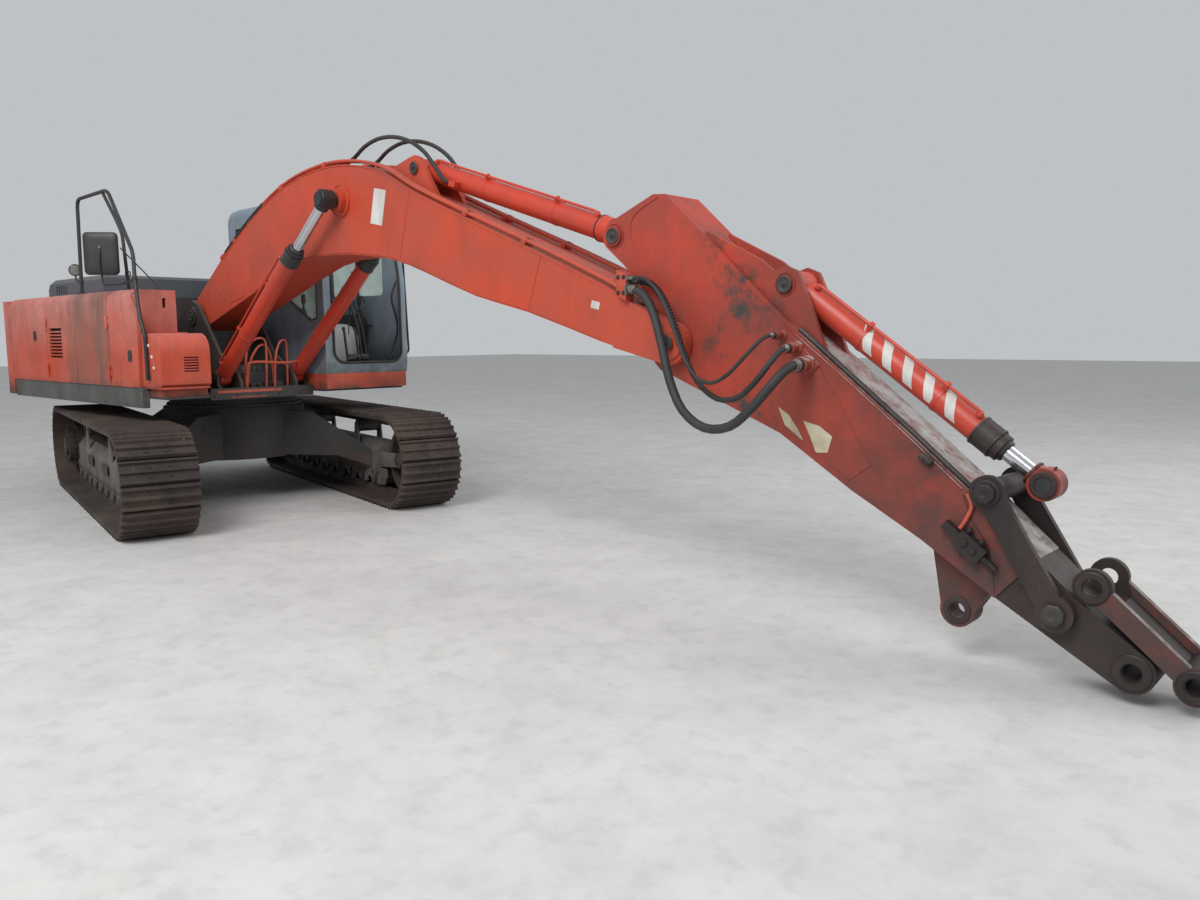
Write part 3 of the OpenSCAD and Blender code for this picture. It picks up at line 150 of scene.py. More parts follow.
def weathered(name, colour, faded, grime, amount=0.35, scale=1.6, chips=None, chip_share=0.0,
              low=None, rough=0.62, metal=0.0, bump=0.25, fine=60.0, dust=None, extra=None):
    """Paint or steel: two shades, streaky grime, chips, dust on top and dirt that gathers below a height."""
    m, t = new_material(name)
    base = mix(t, ramp(t, noise(t, scale), 0.38, 0.66), colour, faded)
    if extra:
        base = extra(t, base)
    streak = ramp(t, noise(t, 7.0, 6.0, 0.65, (1.0, 1.0, 0.28)), 0.5, 0.74)
    blotch = ramp(t, noise(t, 2.3, 8.0, 0.7), 0.42, 0.72)
    dirt = times(t, calc(t, "ADD", streak, blotch), amount)
    if low:
        patches = ramp(t, noise(t, 5.0, 8.0, 0.7), 0.3, 0.62)
        gathered = times(t, ramp(t, along(t, "Z"), *low, 1.0, 0.0), patches)
        dirt = calc(t, "ADD", dirt, gathered)
    tone = mix(t, dirt, base, grime)
    if dust:
        shade, share = dust
        patches = ramp(t, noise(t, 6.0, 8.0, 0.7), 0.32, 0.62, 0.0, share)
        laid = times(t, ramp(t, upward(t), 0.45, 0.85), patches)
        tone = mix(t, laid, tone, shade)
    if chips:
        tone = mix(t, ramp(t, noise(t, 26.0, 6.0, 0.75), 0.7 - chip_share, 0.73 - chip_share), tone, chips)
    grain = wire(t, "ShaderNodeBump",
                 {"Strength": bump, "Distance": 0.004, "Height": noise(t, fine, 6.0, 0.6)})
    surface(t, {"Base Color": tone, "Roughness": ramp(t, dirt, 0.0, 1.0, rough, min(rough + 0.28, 0.97)),
                "Metallic": metal, "Normal": grain.outputs["Normal"]})
    return m


def plain(name, colour, rough, second=None, scale=8.0, bump=0.1):
    return weathered(name, colour, second or tuple(c * 0.75 for c in colour), tuple(c * 0.5 for c in colour),
                     0.3, scale, rough=rough, bump=bump)


def link(obj):
    bpy.context.scene.collection.objects.link(obj)
    return obj


FLOOR = plain("floor_pale", (0.62, 0.61, 0.59), rough=0.9, second=(0.58, 0.57, 0.56), scale=0.6, bump=0.03)
FLOOR_HALF = 60
floor_mesh = bpy.data.meshes.new("floor")
floor_mesh.from_pydata([(x * FLOOR_HALF, y * FLOOR_HALF, 0) for x, y in ((-1, -1), (1, -1), (1, 1), (-1, 1))],
                       [], [(0, 1, 2, 3)])
floor_mesh.materials.append(FLOOR)
link(bpy.data.objects.new("floor", floor_mesh))

world = bpy.data.worlds.new("sky")
world.use_nodes = True
sky = world.node_tree.nodes["Background"].inputs
sky["Color"].default_value = (0.84, 0.87, 0.9, 1)
sky["Strength"].default_value = 0.62
bpy.context.scene.world = world
bpy.context.scene.view_settings.view_transform = "Standard"


def area_light(name, at, to, size, power):
    data = bpy.data.lights.new(name, "AREA")
    data.shape = "SQUARE"
    data.size = size
    data.energy = power
    o = link(bpy.data.objects.new(name, data))
    o.location = at
    o.rotation_euler = (V(to) - V(at)).to_track_quat("-Z", "Y").to_euler()


area_light("key", (7, -10, 11), (2, 0, 1), 7.0, 1450)
area_light("fill", (14, 6, 8), (3, 0, 1), 9.0, 520)


# Solids of the frame.
# Every CAD node starts in the grimy black of the small steel parts; the sections below paint their own
# nodes over it, some in two finishes, where a rod's eye or a worn end differs from the rest.
DUST = (0.2, 0.17, 0.145)
SOIL = (0.1, 0.075, 0.055)
DARK = weathered("grimy_black", (0.028, 0.028, 0.03), (0.045, 0.042, 0.04), SOIL, 0.28, rough=0.55,
                 dust=(DUST, 0.5))
for node in NODES.values():
    node.data.materials.clear()
    node.data.materials.append(DARK)
    for face in node.data.polygons:
        face.material_index = 0


def paint(material, names):
    for name in names.split():
        NODES[name].data.materials[0] = material


def part_paint(name, material, test):
    """Gives the faces of a node whose middle passes the test a second finish."""
    mesh = NODES[name].data
    mesh.materials.append(material)
    place = NODES[name].matrix_world
    for face in mesh.polygons:
        if test(place @ face.center):
            face.material_index = len(mesh.materials) - 1


# Free hoses.
# Three hoses round the elbow and two over the boom's back, on the routes of the frame's tubes.
# The elbow ones ride on no body and stay where they are; the others ride on the boom.
# Every piece collects closed solids in row coordinates, is bevelled and smoothed, and rides on one body or on
# none.
RUBBER = weathered("rubber_hose", (0.018, 0.018, 0.018), (0.03, 0.03, 0.03), (0.07, 0.062, 0.052), 0.3,
                   rough=0.6, bump=0.5, fine=140.0)
X, Y, Z = V((1, 0, 0)), V((0, 1, 0)), V((0, 0, 1))
MID = -0.15  # y of the plane through the boom's middle
PINS = {"foot": (0.1, 1.89), "tip": (6.138, 1.617), "cyl_foot": (0.83, 1.29), "head": (2.733, 2.779),
        "lug": (3.598, 2.953), "arm_rod": (5.651, 2.286), "bucket_foot": (6.866, 1.938),
        "rocker": (8.364, 0.377), "rocker_head": (8.037, 0.908), "bucket_rod": (8.239, 0.945)}


def settle(mesh, material, angle=35):
    mesh.materials.clear()
    mesh.materials.append(material)
    mesh.polygons.foreach_set("use_smooth", [True] * len(mesh.polygons))
    mesh.set_sharp_from_angle(angle=radians(angle))


def hand_over(name, mesh, body):
    """Makes the object and rides it on its body."""
    obj = link(bpy.data.objects.new(name, mesh))
    if body:
        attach(obj, body)
    return obj


def across(axis):
    """The axis as a unit vector, and two more at right angles to it."""
    axis = V(axis).normalized()
    side = axis.orthogonal().normalized()
    return axis, side, axis.cross(side)


def circle(at, u, v, r, n, spin=0.0):
    angles = [2 * pi * (j + spin) / n for j in range(n)]
    return [at + (u * cos(a) + v * sin(a)) * r for a in angles]


def flat(y, *line):
    """The (x, z) points of a line, at y."""
    return [V((x, y, z)) for x, z in line]


class Piece:
    def __init__(self, name, body, material):
        self.name, self.body, self.material = name, body, material
        self.v, self.f = [], []

    def add(self, verts, faces):
        k = len(self.v)
        self.v += [tuple(v) for v in verts]
        self.f += [tuple(i + k for i in f) for f in faces]
        return self

    def prism(self, outline, push):
        """The outline, a list of points, pushed along a vector."""
        n, push = len(outline), V(push)
        outline = [V(p) for p in outline]
        return self.add(outline + [p + push for p in outline],
                        [tuple(range(n)), tuple(range(2 * n - 1, n - 1, -1))]
                        + [(i, (i + 1) % n, n + (i + 1) % n, n + i) for i in range(n)])

    def slab(self, y, depth, *outline):
        """An outline of (x, z) points at y, pushed sideways."""
        return self.prism(flat(y, *outline), (0, depth, 0))

    def block(self, a, b):
        return self.prism([a, (b[0], a[1], a[2]), (b[0], b[1], a[2]), (a[0], b[1], a[2])],
                          (0, 0, b[2] - a[2]))

    def rings(self, circles, closed=False):
        """Skins a row of rings with the same number of points."""
        k, n = len(circles[0]), len(circles)
        faces = [(i * k + j, i * k + (j + 1) % k, ((i + 1) % n) * k + (j + 1) % k, ((i + 1) % n) * k + j)
                 for i in range(n if closed else n - 1) for j in range(k)]
        if not closed:
            faces += [tuple(range(k - 1, -1, -1)), tuple(range((n - 1) * k, n * k))]
        return self.add([p for c in circles for p in c], faces)

    def tube(self, path, r, n=12, closed=False):
        path = [V(p) for p in path]
        m = len(path)
        tangents = [(path[(i + 1) % m] - path[i - 1]).normalized() if closed
                    else (path[min(i + 1, m - 1)] - path[max(i - 1, 0)]).normalized() for i in range(m)]
        side = tangents[0].orthogonal().normalized()
        circles = []
        for p, t in zip(path, tangents):
            side = (side - t * side.dot(t)).normalized()
            circles.append(circle(p, side, t.cross(side), r, n))
        if closed:
            shift = min(range(n), key=lambda s: (circles[-1][s] - circles[0][0]).length)
            circles[-1] = circles[-1][shift:] + circles[-1][:shift]
        return self.rings(circles, closed)

    def bent(self, route, bend, r, n=12, m=5):
        """A tube along straight stretches with bends between them."""
        return self.tube(cornered(route, bend, m), r, n)

    def turned(self, at, axis, profile, n=24, spin=0.0):
        """Turned part from at along axis; profile is a list of (distance, radius)."""
        at, (axis, u, v) = V(at), across(axis)
        return self.rings([circle(at + axis * s, u, v, max(r, 1e-4), n, spin) for s, r in profile])

    def collar(self, x, y, z, side, profile, n):
        """A ring that faces sideways; profile goes once round its section, as (radius, height)."""
        return self.rings([circle(V((x, y + side * h, z)), X, Z, r, n) for r, h in profile], closed=True)

    def done(self, bevel=0.0, segments=1, angle=35):
        mesh = bpy.data.meshes.new(self.name)
        mesh.from_pydata(self.v, [], self.f)
        bm = bmesh.new()
        bm.from_mesh(mesh)
        bmesh.ops.recalc_face_normals(bm, faces=bm.faces)
        if bevel:
            sharp = [e for e in bm.edges if len(e.link_faces) == 2 and e.calc_face_angle(0) > radians(angle)]
            bmesh.ops.bevel(bm, geom=sharp, offset=bevel, segments=segments, profile=0.5, affect="EDGES")
        bm.to_mesh(mesh)
        bm.free()
        settle(mesh, self.material, angle)
        return hand_over(self.name, mesh, self.body)


def curve_through(points, m):
    """A smooth curve through given points, the same as the frame's tubes follow."""
    p = [V(q) for q in points]
    out = []
    for i in range(len(p) - 1):
        a, b, c, d = p[max(i - 1, 0)], p[i], p[i + 1], p[min(i + 2, len(p) - 1)]
        for k in range(m + 1):
            u = k / (m + 1)
            out.append(b + (c - a) * (u / 2) + (2 * a - 5 * b + 4 * c - d) * (u * u / 2)
                       + (3 * b - a - 3 * c + d) * (u ** 3 / 2))
    return out + [p[-1]]


def cornered(points, r, m=5):
    """A path with its corners rounded by short curves that start r before each corner."""
    p = [V(q) for q in points]
    out = [p[0]]
    for i in range(1, len(p) - 1):
        a, b = (p[i - 1] - p[i]).normalized() * r, (p[i + 1] - p[i]).normalized() * r
        out += [p[i] + a * (1 - k / m) ** 2 + b * (k / m) ** 2 for k in range(m + 1)]
    return out + [p[-1]]


def frame_of(foot, rod):
    """A cylinder's foot in the boom's plane, the direction along it, and the one across it and upwards."""
    (x, z), (rod_x, rod_z) = PINS[foot], PINS[rod]
    u = V((rod_x - x, 0, rod_z - z)).normalized()
    return V((x, MID, z)), u, V((-u.z, 0, u.x))


def hose(name, route, radius, start=None, end=None):
    path = [V(route[0])] + curve_through(route[1:-1], 2) + [V(route[-1])]
    obj = Piece(name + "_rubber", None if start else "boom", RUBBER).tube(path, radius, 16).done(angle=60)
    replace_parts(obj, name)
    if start:
        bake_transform(obj)
    return path


ELBOW = ((5.9, -0.41, 1.94), (7.02, -0.44, 1.5))
hose_1 = hose("elbow_hose_1", [
    (5.84, -0.408, 1.945), (5.88, -0.408, 1.945), (5.99, -0.43, 1.895), (6.095, -0.47, 1.77),
    (6.18, -0.505, 1.59), (6.26, -0.535, 1.4), (6.38, -0.57, 1.235), (6.56, -0.61, 1.15),
    (6.75, -0.645, 1.17), (6.89, -0.655, 1.27), (6.985, -0.62, 1.39), (7.03, -0.545, 1.475),
    (7.04, -0.47, 1.5), (7.04, -0.44, 1.5)], 0.026, *ELBOW)
hose_2 = hose("elbow_hose_2", [
    (5.84, -0.374, 1.995), (5.88, -0.374, 1.995), (6.0, -0.395, 1.975), (6.12, -0.43, 1.89),
    (6.23, -0.465, 1.74), (6.32, -0.48, 1.56), (6.43, -0.5, 1.4), (6.59, -0.535, 1.31),
    (6.75, -0.575, 1.32), (6.87, -0.6, 1.4), (6.945, -0.575, 1.5), (6.972, -0.515, 1.57),
    (6.975, -0.465, 1.59), (6.975, -0.44, 1.59)], 0.016, *ELBOW)
hose_3 = hose("elbow_hose_3", [
    (5.84, -0.418, 2.012), (5.88, -0.418, 2.012), (6.0, -0.445, 2.0), (6.14, -0.49, 1.91),
    (6.27, -0.535, 1.74), (6.37, -0.565, 1.56), (6.48, -0.585, 1.43), (6.6, -0.6, 1.4),
    (6.71, -0.605, 1.45), (6.8, -0.59, 1.54), (6.86, -0.545, 1.62), (6.882, -0.49, 1.655),
    (6.885, -0.46, 1.66), (6.885, -0.44, 1.66)], 0.011, *ELBOW)
at, u, n = frame_of("lug", "arm_rod")
for side, name in ((-1, "arch_hose_right"), (1, "arch_hose_left")):
    y = MID + side * 0.115
    end = at + Y * (side * 0.115) + u * 0.418 - n * 0.024
    hose(name, flat(y, (2.62, 3.105), (2.66, 3.105), (2.77, 3.14), (2.91, 3.205), (3.1, 3.242), (3.31, 3.228),
                    (3.51, 3.168), (3.68, 3.07), (3.79, 2.965), (3.865, 2.88)) + [end - u * 0.06, end], 0.016)


# Fasteners.
# Steel hexagon bolts on plain washers, painted over or rusted like the part that they hold.
# One Geometry Nodes group sets a head and a washer at each point, turned to the point's direction.
SIXTH_TURN = 1.047


def fastener_group():
    g = bpy.data.node_groups.new("fasteners", "GeometryNodeTree")
    g.interface.new_socket(name="Geometry", in_out="OUTPUT", socket_type="NodeSocketGeometry")
    for label, kind in (("Geometry", "Geometry"), ("Head radius", "Float"), ("Head height", "Float"),
                        ("Washer radius", "Float"), ("Finish", "Material")):
        g.interface.new_socket(name=label, in_out="INPUT", socket_type="NodeSocket" + kind)
    given = g.nodes.new("NodeGroupInput").outputs
    both = g.nodes.new("GeometryNodeJoinGeometry")
    for sides, radius, height in ((6, given["Head radius"], given["Head height"]),
                                  (14, given["Washer radius"], 0.003)):
        solid = wire(g, "GeometryNodeMeshCylinder", {"Vertices": sides, "Radius": radius, "Depth": height})
        half = wire(g, "ShaderNodeMath", {0: height, 1: 0.5}, operation="MULTIPLY")
        raised = wire(g, "ShaderNodeCombineXYZ", {"Z": half.outputs[0]})
        moved = wire(g, "GeometryNodeTransform",
                     {"Geometry": solid.outputs["Mesh"], "Translation": raised.outputs[0]})
        g.links.new(moved.outputs["Geometry"], both.inputs["Geometry"])
    axis = wire(g, "GeometryNodeInputNamedAttribute", {"Name": "axis"}, data_type="FLOAT_VECTOR")
    stand = wire(g, "FunctionNodeAlignRotationToVector",
                 {"Vector": shown(axis.outputs, "Attribute")}, axis="Z")
    turn = wire(g, "FunctionNodeRandomValue", {"Max": SIXTH_TURN, "Seed": 3}, data_type="FLOAT")
    spin = wire(g, "FunctionNodeAxisAngleToRotation",
                {"Axis": (0, 0, 1), "Angle": shown(turn.outputs, "Value")})
    way = wire(g, "FunctionNodeRotateRotation", {"Rotation": stand.outputs[0], "Rotate By": spin.outputs[0]},
               rotation_space="LOCAL")
    place = wire(g, "GeometryNodeInstanceOnPoints", {"Points": given["Geometry"],
                 "Instance": both.outputs["Geometry"], "Rotation": way.outputs[0]})
    real = wire(g, "GeometryNodeRealizeInstances", {"Geometry": place.outputs["Instances"]})
    coated = wire(g, "GeometryNodeSetMaterial",
                  {"Geometry": real.outputs["Geometry"], "Material": given["Finish"]})
    wire(g, "NodeGroupOutput", {"Geometry": coated.outputs["Geometry"]})
    return g


FASTENERS = fastener_group()
SOCKETS = {s.name: s.identifier for s in FASTENERS.interface.items_tree if s.in_out == "INPUT"}


def applied(host):
    """The object's mesh with its modifiers applied; the object goes."""
    depsgraph = bpy.context.evaluated_depsgraph_get()
    mesh = bpy.data.meshes.new_from_object(host.evaluated_get(depsgraph), depsgraph=depsgraph)
    bpy.data.objects.remove(host)
    return mesh


def bolts(name, body, spots, head, height, washer, material):
    """Bolts at spots, a list of (point, direction)."""
    mesh = bpy.data.meshes.new(name + "_points")
    mesh.from_pydata([tuple(p) for p, d in spots], [], [])
    axis = mesh.attributes.new("axis", "FLOAT_VECTOR", "POINT")
    for i, (p, d) in enumerate(spots):
        axis.data[i].vector = tuple(d)
    host = link(bpy.data.objects.new(name + "_host", mesh))
    mod = host.modifiers.new("fasteners", "NODES")
    mod.node_group = FASTENERS
    for label, value in (("Head radius", head), ("Head height", height), ("Washer radius", washer),
                         ("Finish", material)):
        mod[SOCKETS[label]] = value
    made = applied(host)
    settle(made, material)
    hand_over(name, made, body)


def ring_of(at, axis, radius, count, phase=0.0):
    """Spots evenly round a circle, all pointing along axis."""
    axis, u, v = across(axis)
    return [(p, axis) for p in circle(V(at), u, v, radius, count, phase)]


# Undercarriage.
# Cast and welded steel under grey paint, with the tracks, sprockets and idlers bare and rusted. It gets
# its shoe, hub and ring bolts, roller caps, cover plates and the travel hoses below.
# All of it is laid out along x and then turned under the house, as in the photo.
UNDER = weathered("under_grey", (0.022, 0.023, 0.027), (0.042, 0.041, 0.041), (0.06, 0.047, 0.038), 0.45,
                  chips=(0.16, 0.08, 0.04), chip_share=0.03, low=(0.1, 0.8), rough=0.75, dust=(DUST, 0.6))
FRAME_GREY = weathered("track_frame_grey", (0.13, 0.125, 0.118), (0.19, 0.18, 0.165), (0.075, 0.055, 0.042),
                       0.6, chips=(0.18, 0.09, 0.05), chip_share=0.05, low=(0.1, 0.6), rough=0.8)
RUST = weathered("track_rust", (0.042, 0.031, 0.027), (0.088, 0.06, 0.046), (0.02, 0.018, 0.018), 0.5,
                 chips=(0.26, 0.2, 0.15), chip_share=0.05, rough=0.8, bump=0.5, fine=35.0)
paint(UNDER, "car_body")
paint(FRAME_GREY, "track_frames")
paint(RUST, "tracks sprockets idlers")
part_paint("car_body", RUST, lambda p: p.z < 0.5)

TURN = Matrix.Rotation(radians(-12.4), 4, "Z")
SPIN = TURN.to_3x3()
AXLES, TRACK_Y, AXLE_Z = 3.66, 1.195, 0.46
FRONT = AXLES / 2
LINK_R = AXLE_Z - 0.026 - 0.016  # less the grouser and the shoe
HALF_ROUND = pi * LINK_R
LOOP = 2 * AXLES + 2 * HALF_ROUND
SHOES = 48
SIDES = (-1, 1)


def on_track(s, h):
    """(x, z) on the shoe line at length s, raised by h, and the direction outwards."""
    s %= LOOP
    if s < AXLES:
        return (s - FRONT, AXLE_Z - LINK_R - h), (0, -1)
    s -= AXLES
    if HALF_ROUND <= s < HALF_ROUND + AXLES:
        return (FRONT - (s - HALF_ROUND), AXLE_Z + LINK_R + h), (0, 1)
    middle, start = (FRONT, -pi / 2) if s < HALF_ROUND else (-FRONT, pi / 2 - (HALF_ROUND + AXLES) / LINK_R)
    a = s / LINK_R + start
    return (middle + (LINK_R + h) * cos(a), AXLE_Z + (LINK_R + h) * sin(a)), (cos(a), sin(a))


def under(x, y, z):
    return TURN @ V((x, y, z))


def loop(origin, u, v, w, h, r, m=6):
    """Closed rounded rectangle, w along u and h along v, about its middle."""
    origin, u, v = V(origin), V(u), V(v)
    out = []
    for sx, sy, a0 in ((1, 1, 0), (-1, 1, 90), (-1, -1, 180), (1, -1, 270)):
        for k in range(m + 1):
            a = radians(a0 + 90 * k / m)
            out.append(origin + u * (sx * (w / 2 - r) + r * cos(a)) + v * (sy * (h / 2 - r) + r * sin(a)))
    return out


shoe_spots = []
for side in SIDES:
    for i in range(SHOES):
        for share in (0.33, 0.7):
            (x, z), (dx, dz) = on_track((i + share) * LOOP / SHOES, 0.016)
            if z > 0.1:
                out = SPIN @ V((dx, 0, dz))
                shoe_spots += [(under(x, side * TRACK_Y + dy, z), out) for dy in (-0.08, 0.08)]
bolts("shoe_bolts", "undercarriage", shoe_spots, 0.012, 0.009, 0.014, RUST)
bolts("ring_bolts", "undercarriage", ring_of((0, 0, 0.998), Z, 0.655, 36), 0.011, 0.014, 0.0145, DARK)
hub_spots = []
for side in SIDES:
    out = SPIN @ V((0, side, 0))
    hub_spots += ring_of(under(-FRONT, side * (TRACK_Y + 0.2), AXLE_Z) + out * 0.0005, out, 0.16, 16)
    hub_spots += ring_of(under(-FRONT, side * (TRACK_Y + 0.145), AXLE_Z), out, 0.212, 20, 0.5)
bolts("hub_bolts", "undercarriage", hub_spots, 0.011, 0.011, 0.014, RUST)

caps = Piece("roller_caps", "undercarriage", DARK)
guards = []
for side in SIDES:
    for face in SIDES:
        out = SPIN @ V((0, face, 0))
        y = side * TRACK_Y + face * 0.1495
        for i in range(8):
            x = -1.375 + 0.34375 * (i + 0.5)
            caps.turned(under(x, y, 0.2155), out,
                        ((0, 0.04), (0.008, 0.04), (0.014, 0.03), (0.014, 0.012), (0.01, 0.0)), 20)
            guards += [(under(x + d, y, 0.282), out) for d in (-0.06, 0.06)]
        caps.turned(under(FRONT, y, AXLE_Z), out, ((0, 0.075), (0.012, 0.075), (0.02, 0.062), (0.02, 0.03),
                                                   (0.026, 0.024), (0.026, 0.0)), 28)
caps.done()
bolts("guard_bolts", "undercarriage", guards, 0.012, 0.01, 0.015, DARK)

covers = Piece("body_covers", "undercarriage", UNDER)
for side in SIDES:
    for face in SIDES:
        outline = loop((0.45 * face, side * (TRACK_Y + 0.1495), 0.43), X, Z, 0.34, 0.1, 0.03, 3)
        covers.prism([TURN @ p for p in outline], SPIN @ V((0, side * 0.006, 0)))
for a in (35, 145, 215, 325):
    covers.turned(under(0.6 * cos(radians(a)), 0.6 * sin(radians(a)), 0.9705), Z,
                  ((0, 0.03), (0.01, 0.03), (0.014, 0.022), (0.014, 0)), 18)
covers.turned((0, 0, 0.475), -Z, ((-0.3, 0.135), (0, 0.135), (0.012, 0.12), (0.012, 0.085), (0.03, 0.08),
                                  (0.03, 0.0)), 32)
covers.done(bevel=0.0015)

lines = Piece("travel_hoses", "undercarriage", RUBBER)
for side in SIDES:
    for k in (0, 0.05):
        route = [(-0.2 - k, side * 0.1, 0.52), (-0.3 - k, side * 0.24, 0.505), (-0.42 - k, side * 0.4, 0.5),
                 (-0.5 - k, side * 0.62, 0.494)]
        lines.tube([TURN @ q for q in curve_through(route, 3)], 0.014, 10)
lines.done()


# Boom pipes.
# Steel pipes along the boom's top, painted with it, which end in unions and lie in welded saddle clamps.
# Rubber sleeves cover them near the boom's foot, and a block at the other end feeds the elbow hoses.
RED_GRIME = (0.085, 0.045, 0.036)
BOOM_RED = weathered("orange_boom", (0.56, 0.062, 0.024), (0.47, 0.07, 0.036), RED_GRIME, 0.22,
                     chips=(0.12, 0.08, 0.07), chip_share=0.01, rough=0.5, dust=(DUST, 0.35))
WORN = weathered("worn_steel", (0.034, 0.026, 0.025), (0.07, 0.05, 0.044), (0.02, 0.018, 0.018), 0.4,
                 chips=(0.3, 0.08, 0.04), chip_share=0.03, rough=0.5, metal=0.35, bump=0.3)
STEEL = weathered("bare_steel", (0.32, 0.31, 0.3), (0.24, 0.22, 0.2), (0.12, 0.09, 0.07), 0.35,
                  rough=0.4, metal=0.8)
paint(BOOM_RED, "boom_box boom_pipes")
BOOM_SIDE = 0.24  # from the boom's middle plane to the outside of its side plates


def lifted(points, t):
    """A line in x and z moved to its left by t, corner by corner."""
    out = []
    for i, p in enumerate(points):
        a = (p - points[i - 1]).normalized() if i else None
        b = (points[i + 1] - p).normalized() if i + 1 < len(points) else None
        a, b = a or b, b or a
        m = V((-a.y - b.y, a.x + b.x))
        out.append(p + m * (t * 2 / m.length_squared))
    return out


def side_line(m, *points):
    """A smooth line through (x, z) points, with m more between each two."""
    return [V((p.x, p.z)) for p in curve_through(flat(0, *points), m)]


up_line = side_line(4, (5.641, 1.973), (5.064, 2.213), (4.274, 2.523), (3.676, 2.768), (3.276, 2.962),
                    (2.827, 3.062), (2.349, 3.072), (1.805, 2.981), (1.212, 2.745), (0.632, 2.422))
pipe_path = lifted(up_line, -0.03)
PIPE_IN, PIPE_GAP = 0.024, 0.046  # from the side plate's outside to the outer pipe, and on to the inner one
pipes = Piece("boom_pipe_set", "boom", BOOM_RED)
for side in SIDES:
    for k in (0, 1):
        y = MID + side * (BOOM_SIDE - PIPE_IN) - side * k * PIPE_GAP
        path = flat(y, *pipe_path)
        if side < 0 and k == 0:
            path.insert(0, V((5.775, y, 1.94)))  # the one that runs on into the hose block
        pipes.tube(path, 0.014, 14)
        for p, q in (path[:2], path[:-3:-1]):
            d = (p - q).normalized()
            pipes.turned(p - d * 0.03, d, ((0, 0.0145), (0.002, 0.021), (0.034, 0.021), (0.038, 0.017),
                                           (0.052, 0.017), (0.052, 0.006)), 18)
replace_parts(pipes.done(), "boom_pipes")


def at_x(line, x):
    """Point and direction on a line of (x, z) points at x."""
    for a, b in zip(line, line[1:]):
        if min(a.x, b.x) <= x <= max(a.x, b.x):
            return a + (b - a) * ((x - a.x) / (b.x - a.x)), (b - a).normalized()


saddles = Piece("pipe_clamps", "boom", BOOM_RED)
clamp_spots = []
section = [(-0.042, 0.0006), (0.042, 0.0006), (0.042, 0.034)]
for mid in (0.023, -0.023):
    section += [(mid + 0.018 * cos(radians(a)), 0.03 + 0.018 * sin(radians(a))) for a in range(20, 161, 28)]
section += [(-0.042, 0.034)]
for x in (0.898, 1.778, 2.478, 4.268, 4.878):
    p, d = at_x(up_line, x)
    run, rise = V((d.x, 0, d.y)), V((d.y, 0, -d.x))
    for side in SIDES:
        at = V((p.x, MID + side * (BOOM_SIDE - PIPE_IN - PIPE_GAP / 2), p.y))
        base = at - run * 0.022
        saddles.prism([base + Y * a + rise * b for a, b in section], run * 0.044)
        if abs(d.y) < 0.2:  # a foot plate where the boom's top is nearly level
            saddles.block(at - V((0.03, 0.05, 0.003)), at + V((0.03, 0.05, 0.004)))
        clamp_spots.append((at + rise * 0.037, rise))
BLOCK_Y = -0.434
saddles.slab(BLOCK_Y, 0.082, (5.762, 1.9115), (5.838, 1.8722), (5.838, 2.034), (5.762, 2.066))
saddles.done(bevel=0.003, segments=2)
clamp_spots += [(V((x, BLOCK_Y, z)), -Y) for x in (5.778, 5.822) for z in (1.925, 2.02)]
bolts("clamp_bolts", "boom", clamp_spots, 0.01, 0.009, 0.014, WORN)

sleeve = Piece("pipe_sleeve", "boom", RUBBER)
for y, end, r in ((MID - BOOM_SIDE + 0.07, 2.2, 0.0185), (MID - BOOM_SIDE + 0.024, 1.5, 0.018)):
    sleeve.tube(flat(y, *[p for p in pipe_path if 0.66 < p.x < end]), r, 14)
sleeve.done(angle=60)

# Ferrules and unions where the hoses meet the block and the arm's ports, and the spiral guard.
ferrules = Piece("boom_hose_ferrules", "boom", STEEL)
ports = Piece("arm_hose_ferrules", "arm", STEEL)
for path, r in ((hose_1, 0.026), (hose_2, 0.016), (hose_3, 0.011)):
    d = (path[1] - path[0]).normalized()
    ferrules.turned(path[0] - d * 0.001, d, ((0, r * 1.45), (0.014, r * 1.45), (0.015, r * 1.18),
                                             (0.062, r * 1.14), (0.066, r * 1.02)), 24)
    ferrules.turned(path[0], d, ((0, r * 1.75), (0.012, r * 1.75)), 6)
    ports.turned(path[-1], path[-2] - path[-1], ((0, r * 1.32), (0.01, r * 1.32), (0.011, r * 1.15),
                                                 (0.032, r * 1.12), (0.035, r * 1.02)), 24)
ferrules.done()
ports.done()
STEPS, PER_TURN = 30, 10
spring = []
for a, b in zip(hose_2[2:14], hose_2[3:15]):
    d = (b - a).normalized()
    side = (Y - d * d.y).normalized()
    for k in range(STEPS):
        turn = 2 * pi * k / PER_TURN
        spring.append(a + (b - a) * (k / STEPS) + (side * cos(turn) + d.cross(side) * sin(turn)) * 0.0195)
guard = Piece("hose_spring_guard", None, WORN).tube(spring, 0.0028, 6).done(angle=60)
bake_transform(guard)


# Boom.
# A box of steel plates, welded along its edges and at cross seams, and painted a faded orange red.
# It gets its weld beads, a blank label, and all pins their retaining plates with grease nipples.
WHITE = weathered("aged_white", (0.7, 0.7, 0.67), (0.58, 0.57, 0.53), (0.25, 0.2, 0.16), 0.35, rough=0.5,
                  chips=(0.45, 0.1, 0.06), chip_share=0.05)
low_line = side_line(3, (1.259, 2.092), (2.016, 2.317), (2.541, 2.354), (3.006, 2.325), (3.447, 2.26),
                     (3.842, 2.141), (4.397, 1.952), (4.931, 1.827), (5.587, 1.63))
SEAMS = (((3.651, 2.752), (3.58, 2.5), (3.511, 2.262)), ((5.06, 2.195), (4.985, 1.99), (4.935, 1.845)),
         ((0.45, 2.27), (0.62, 2.1), (0.8, 2.01), (1.05, 2.06)))


def hoop(pin, y, r, n):
    """Points round a pin, at y."""
    x, z = PINS[pin]
    return circle(V((x, y, z)), X, Z, r, n)


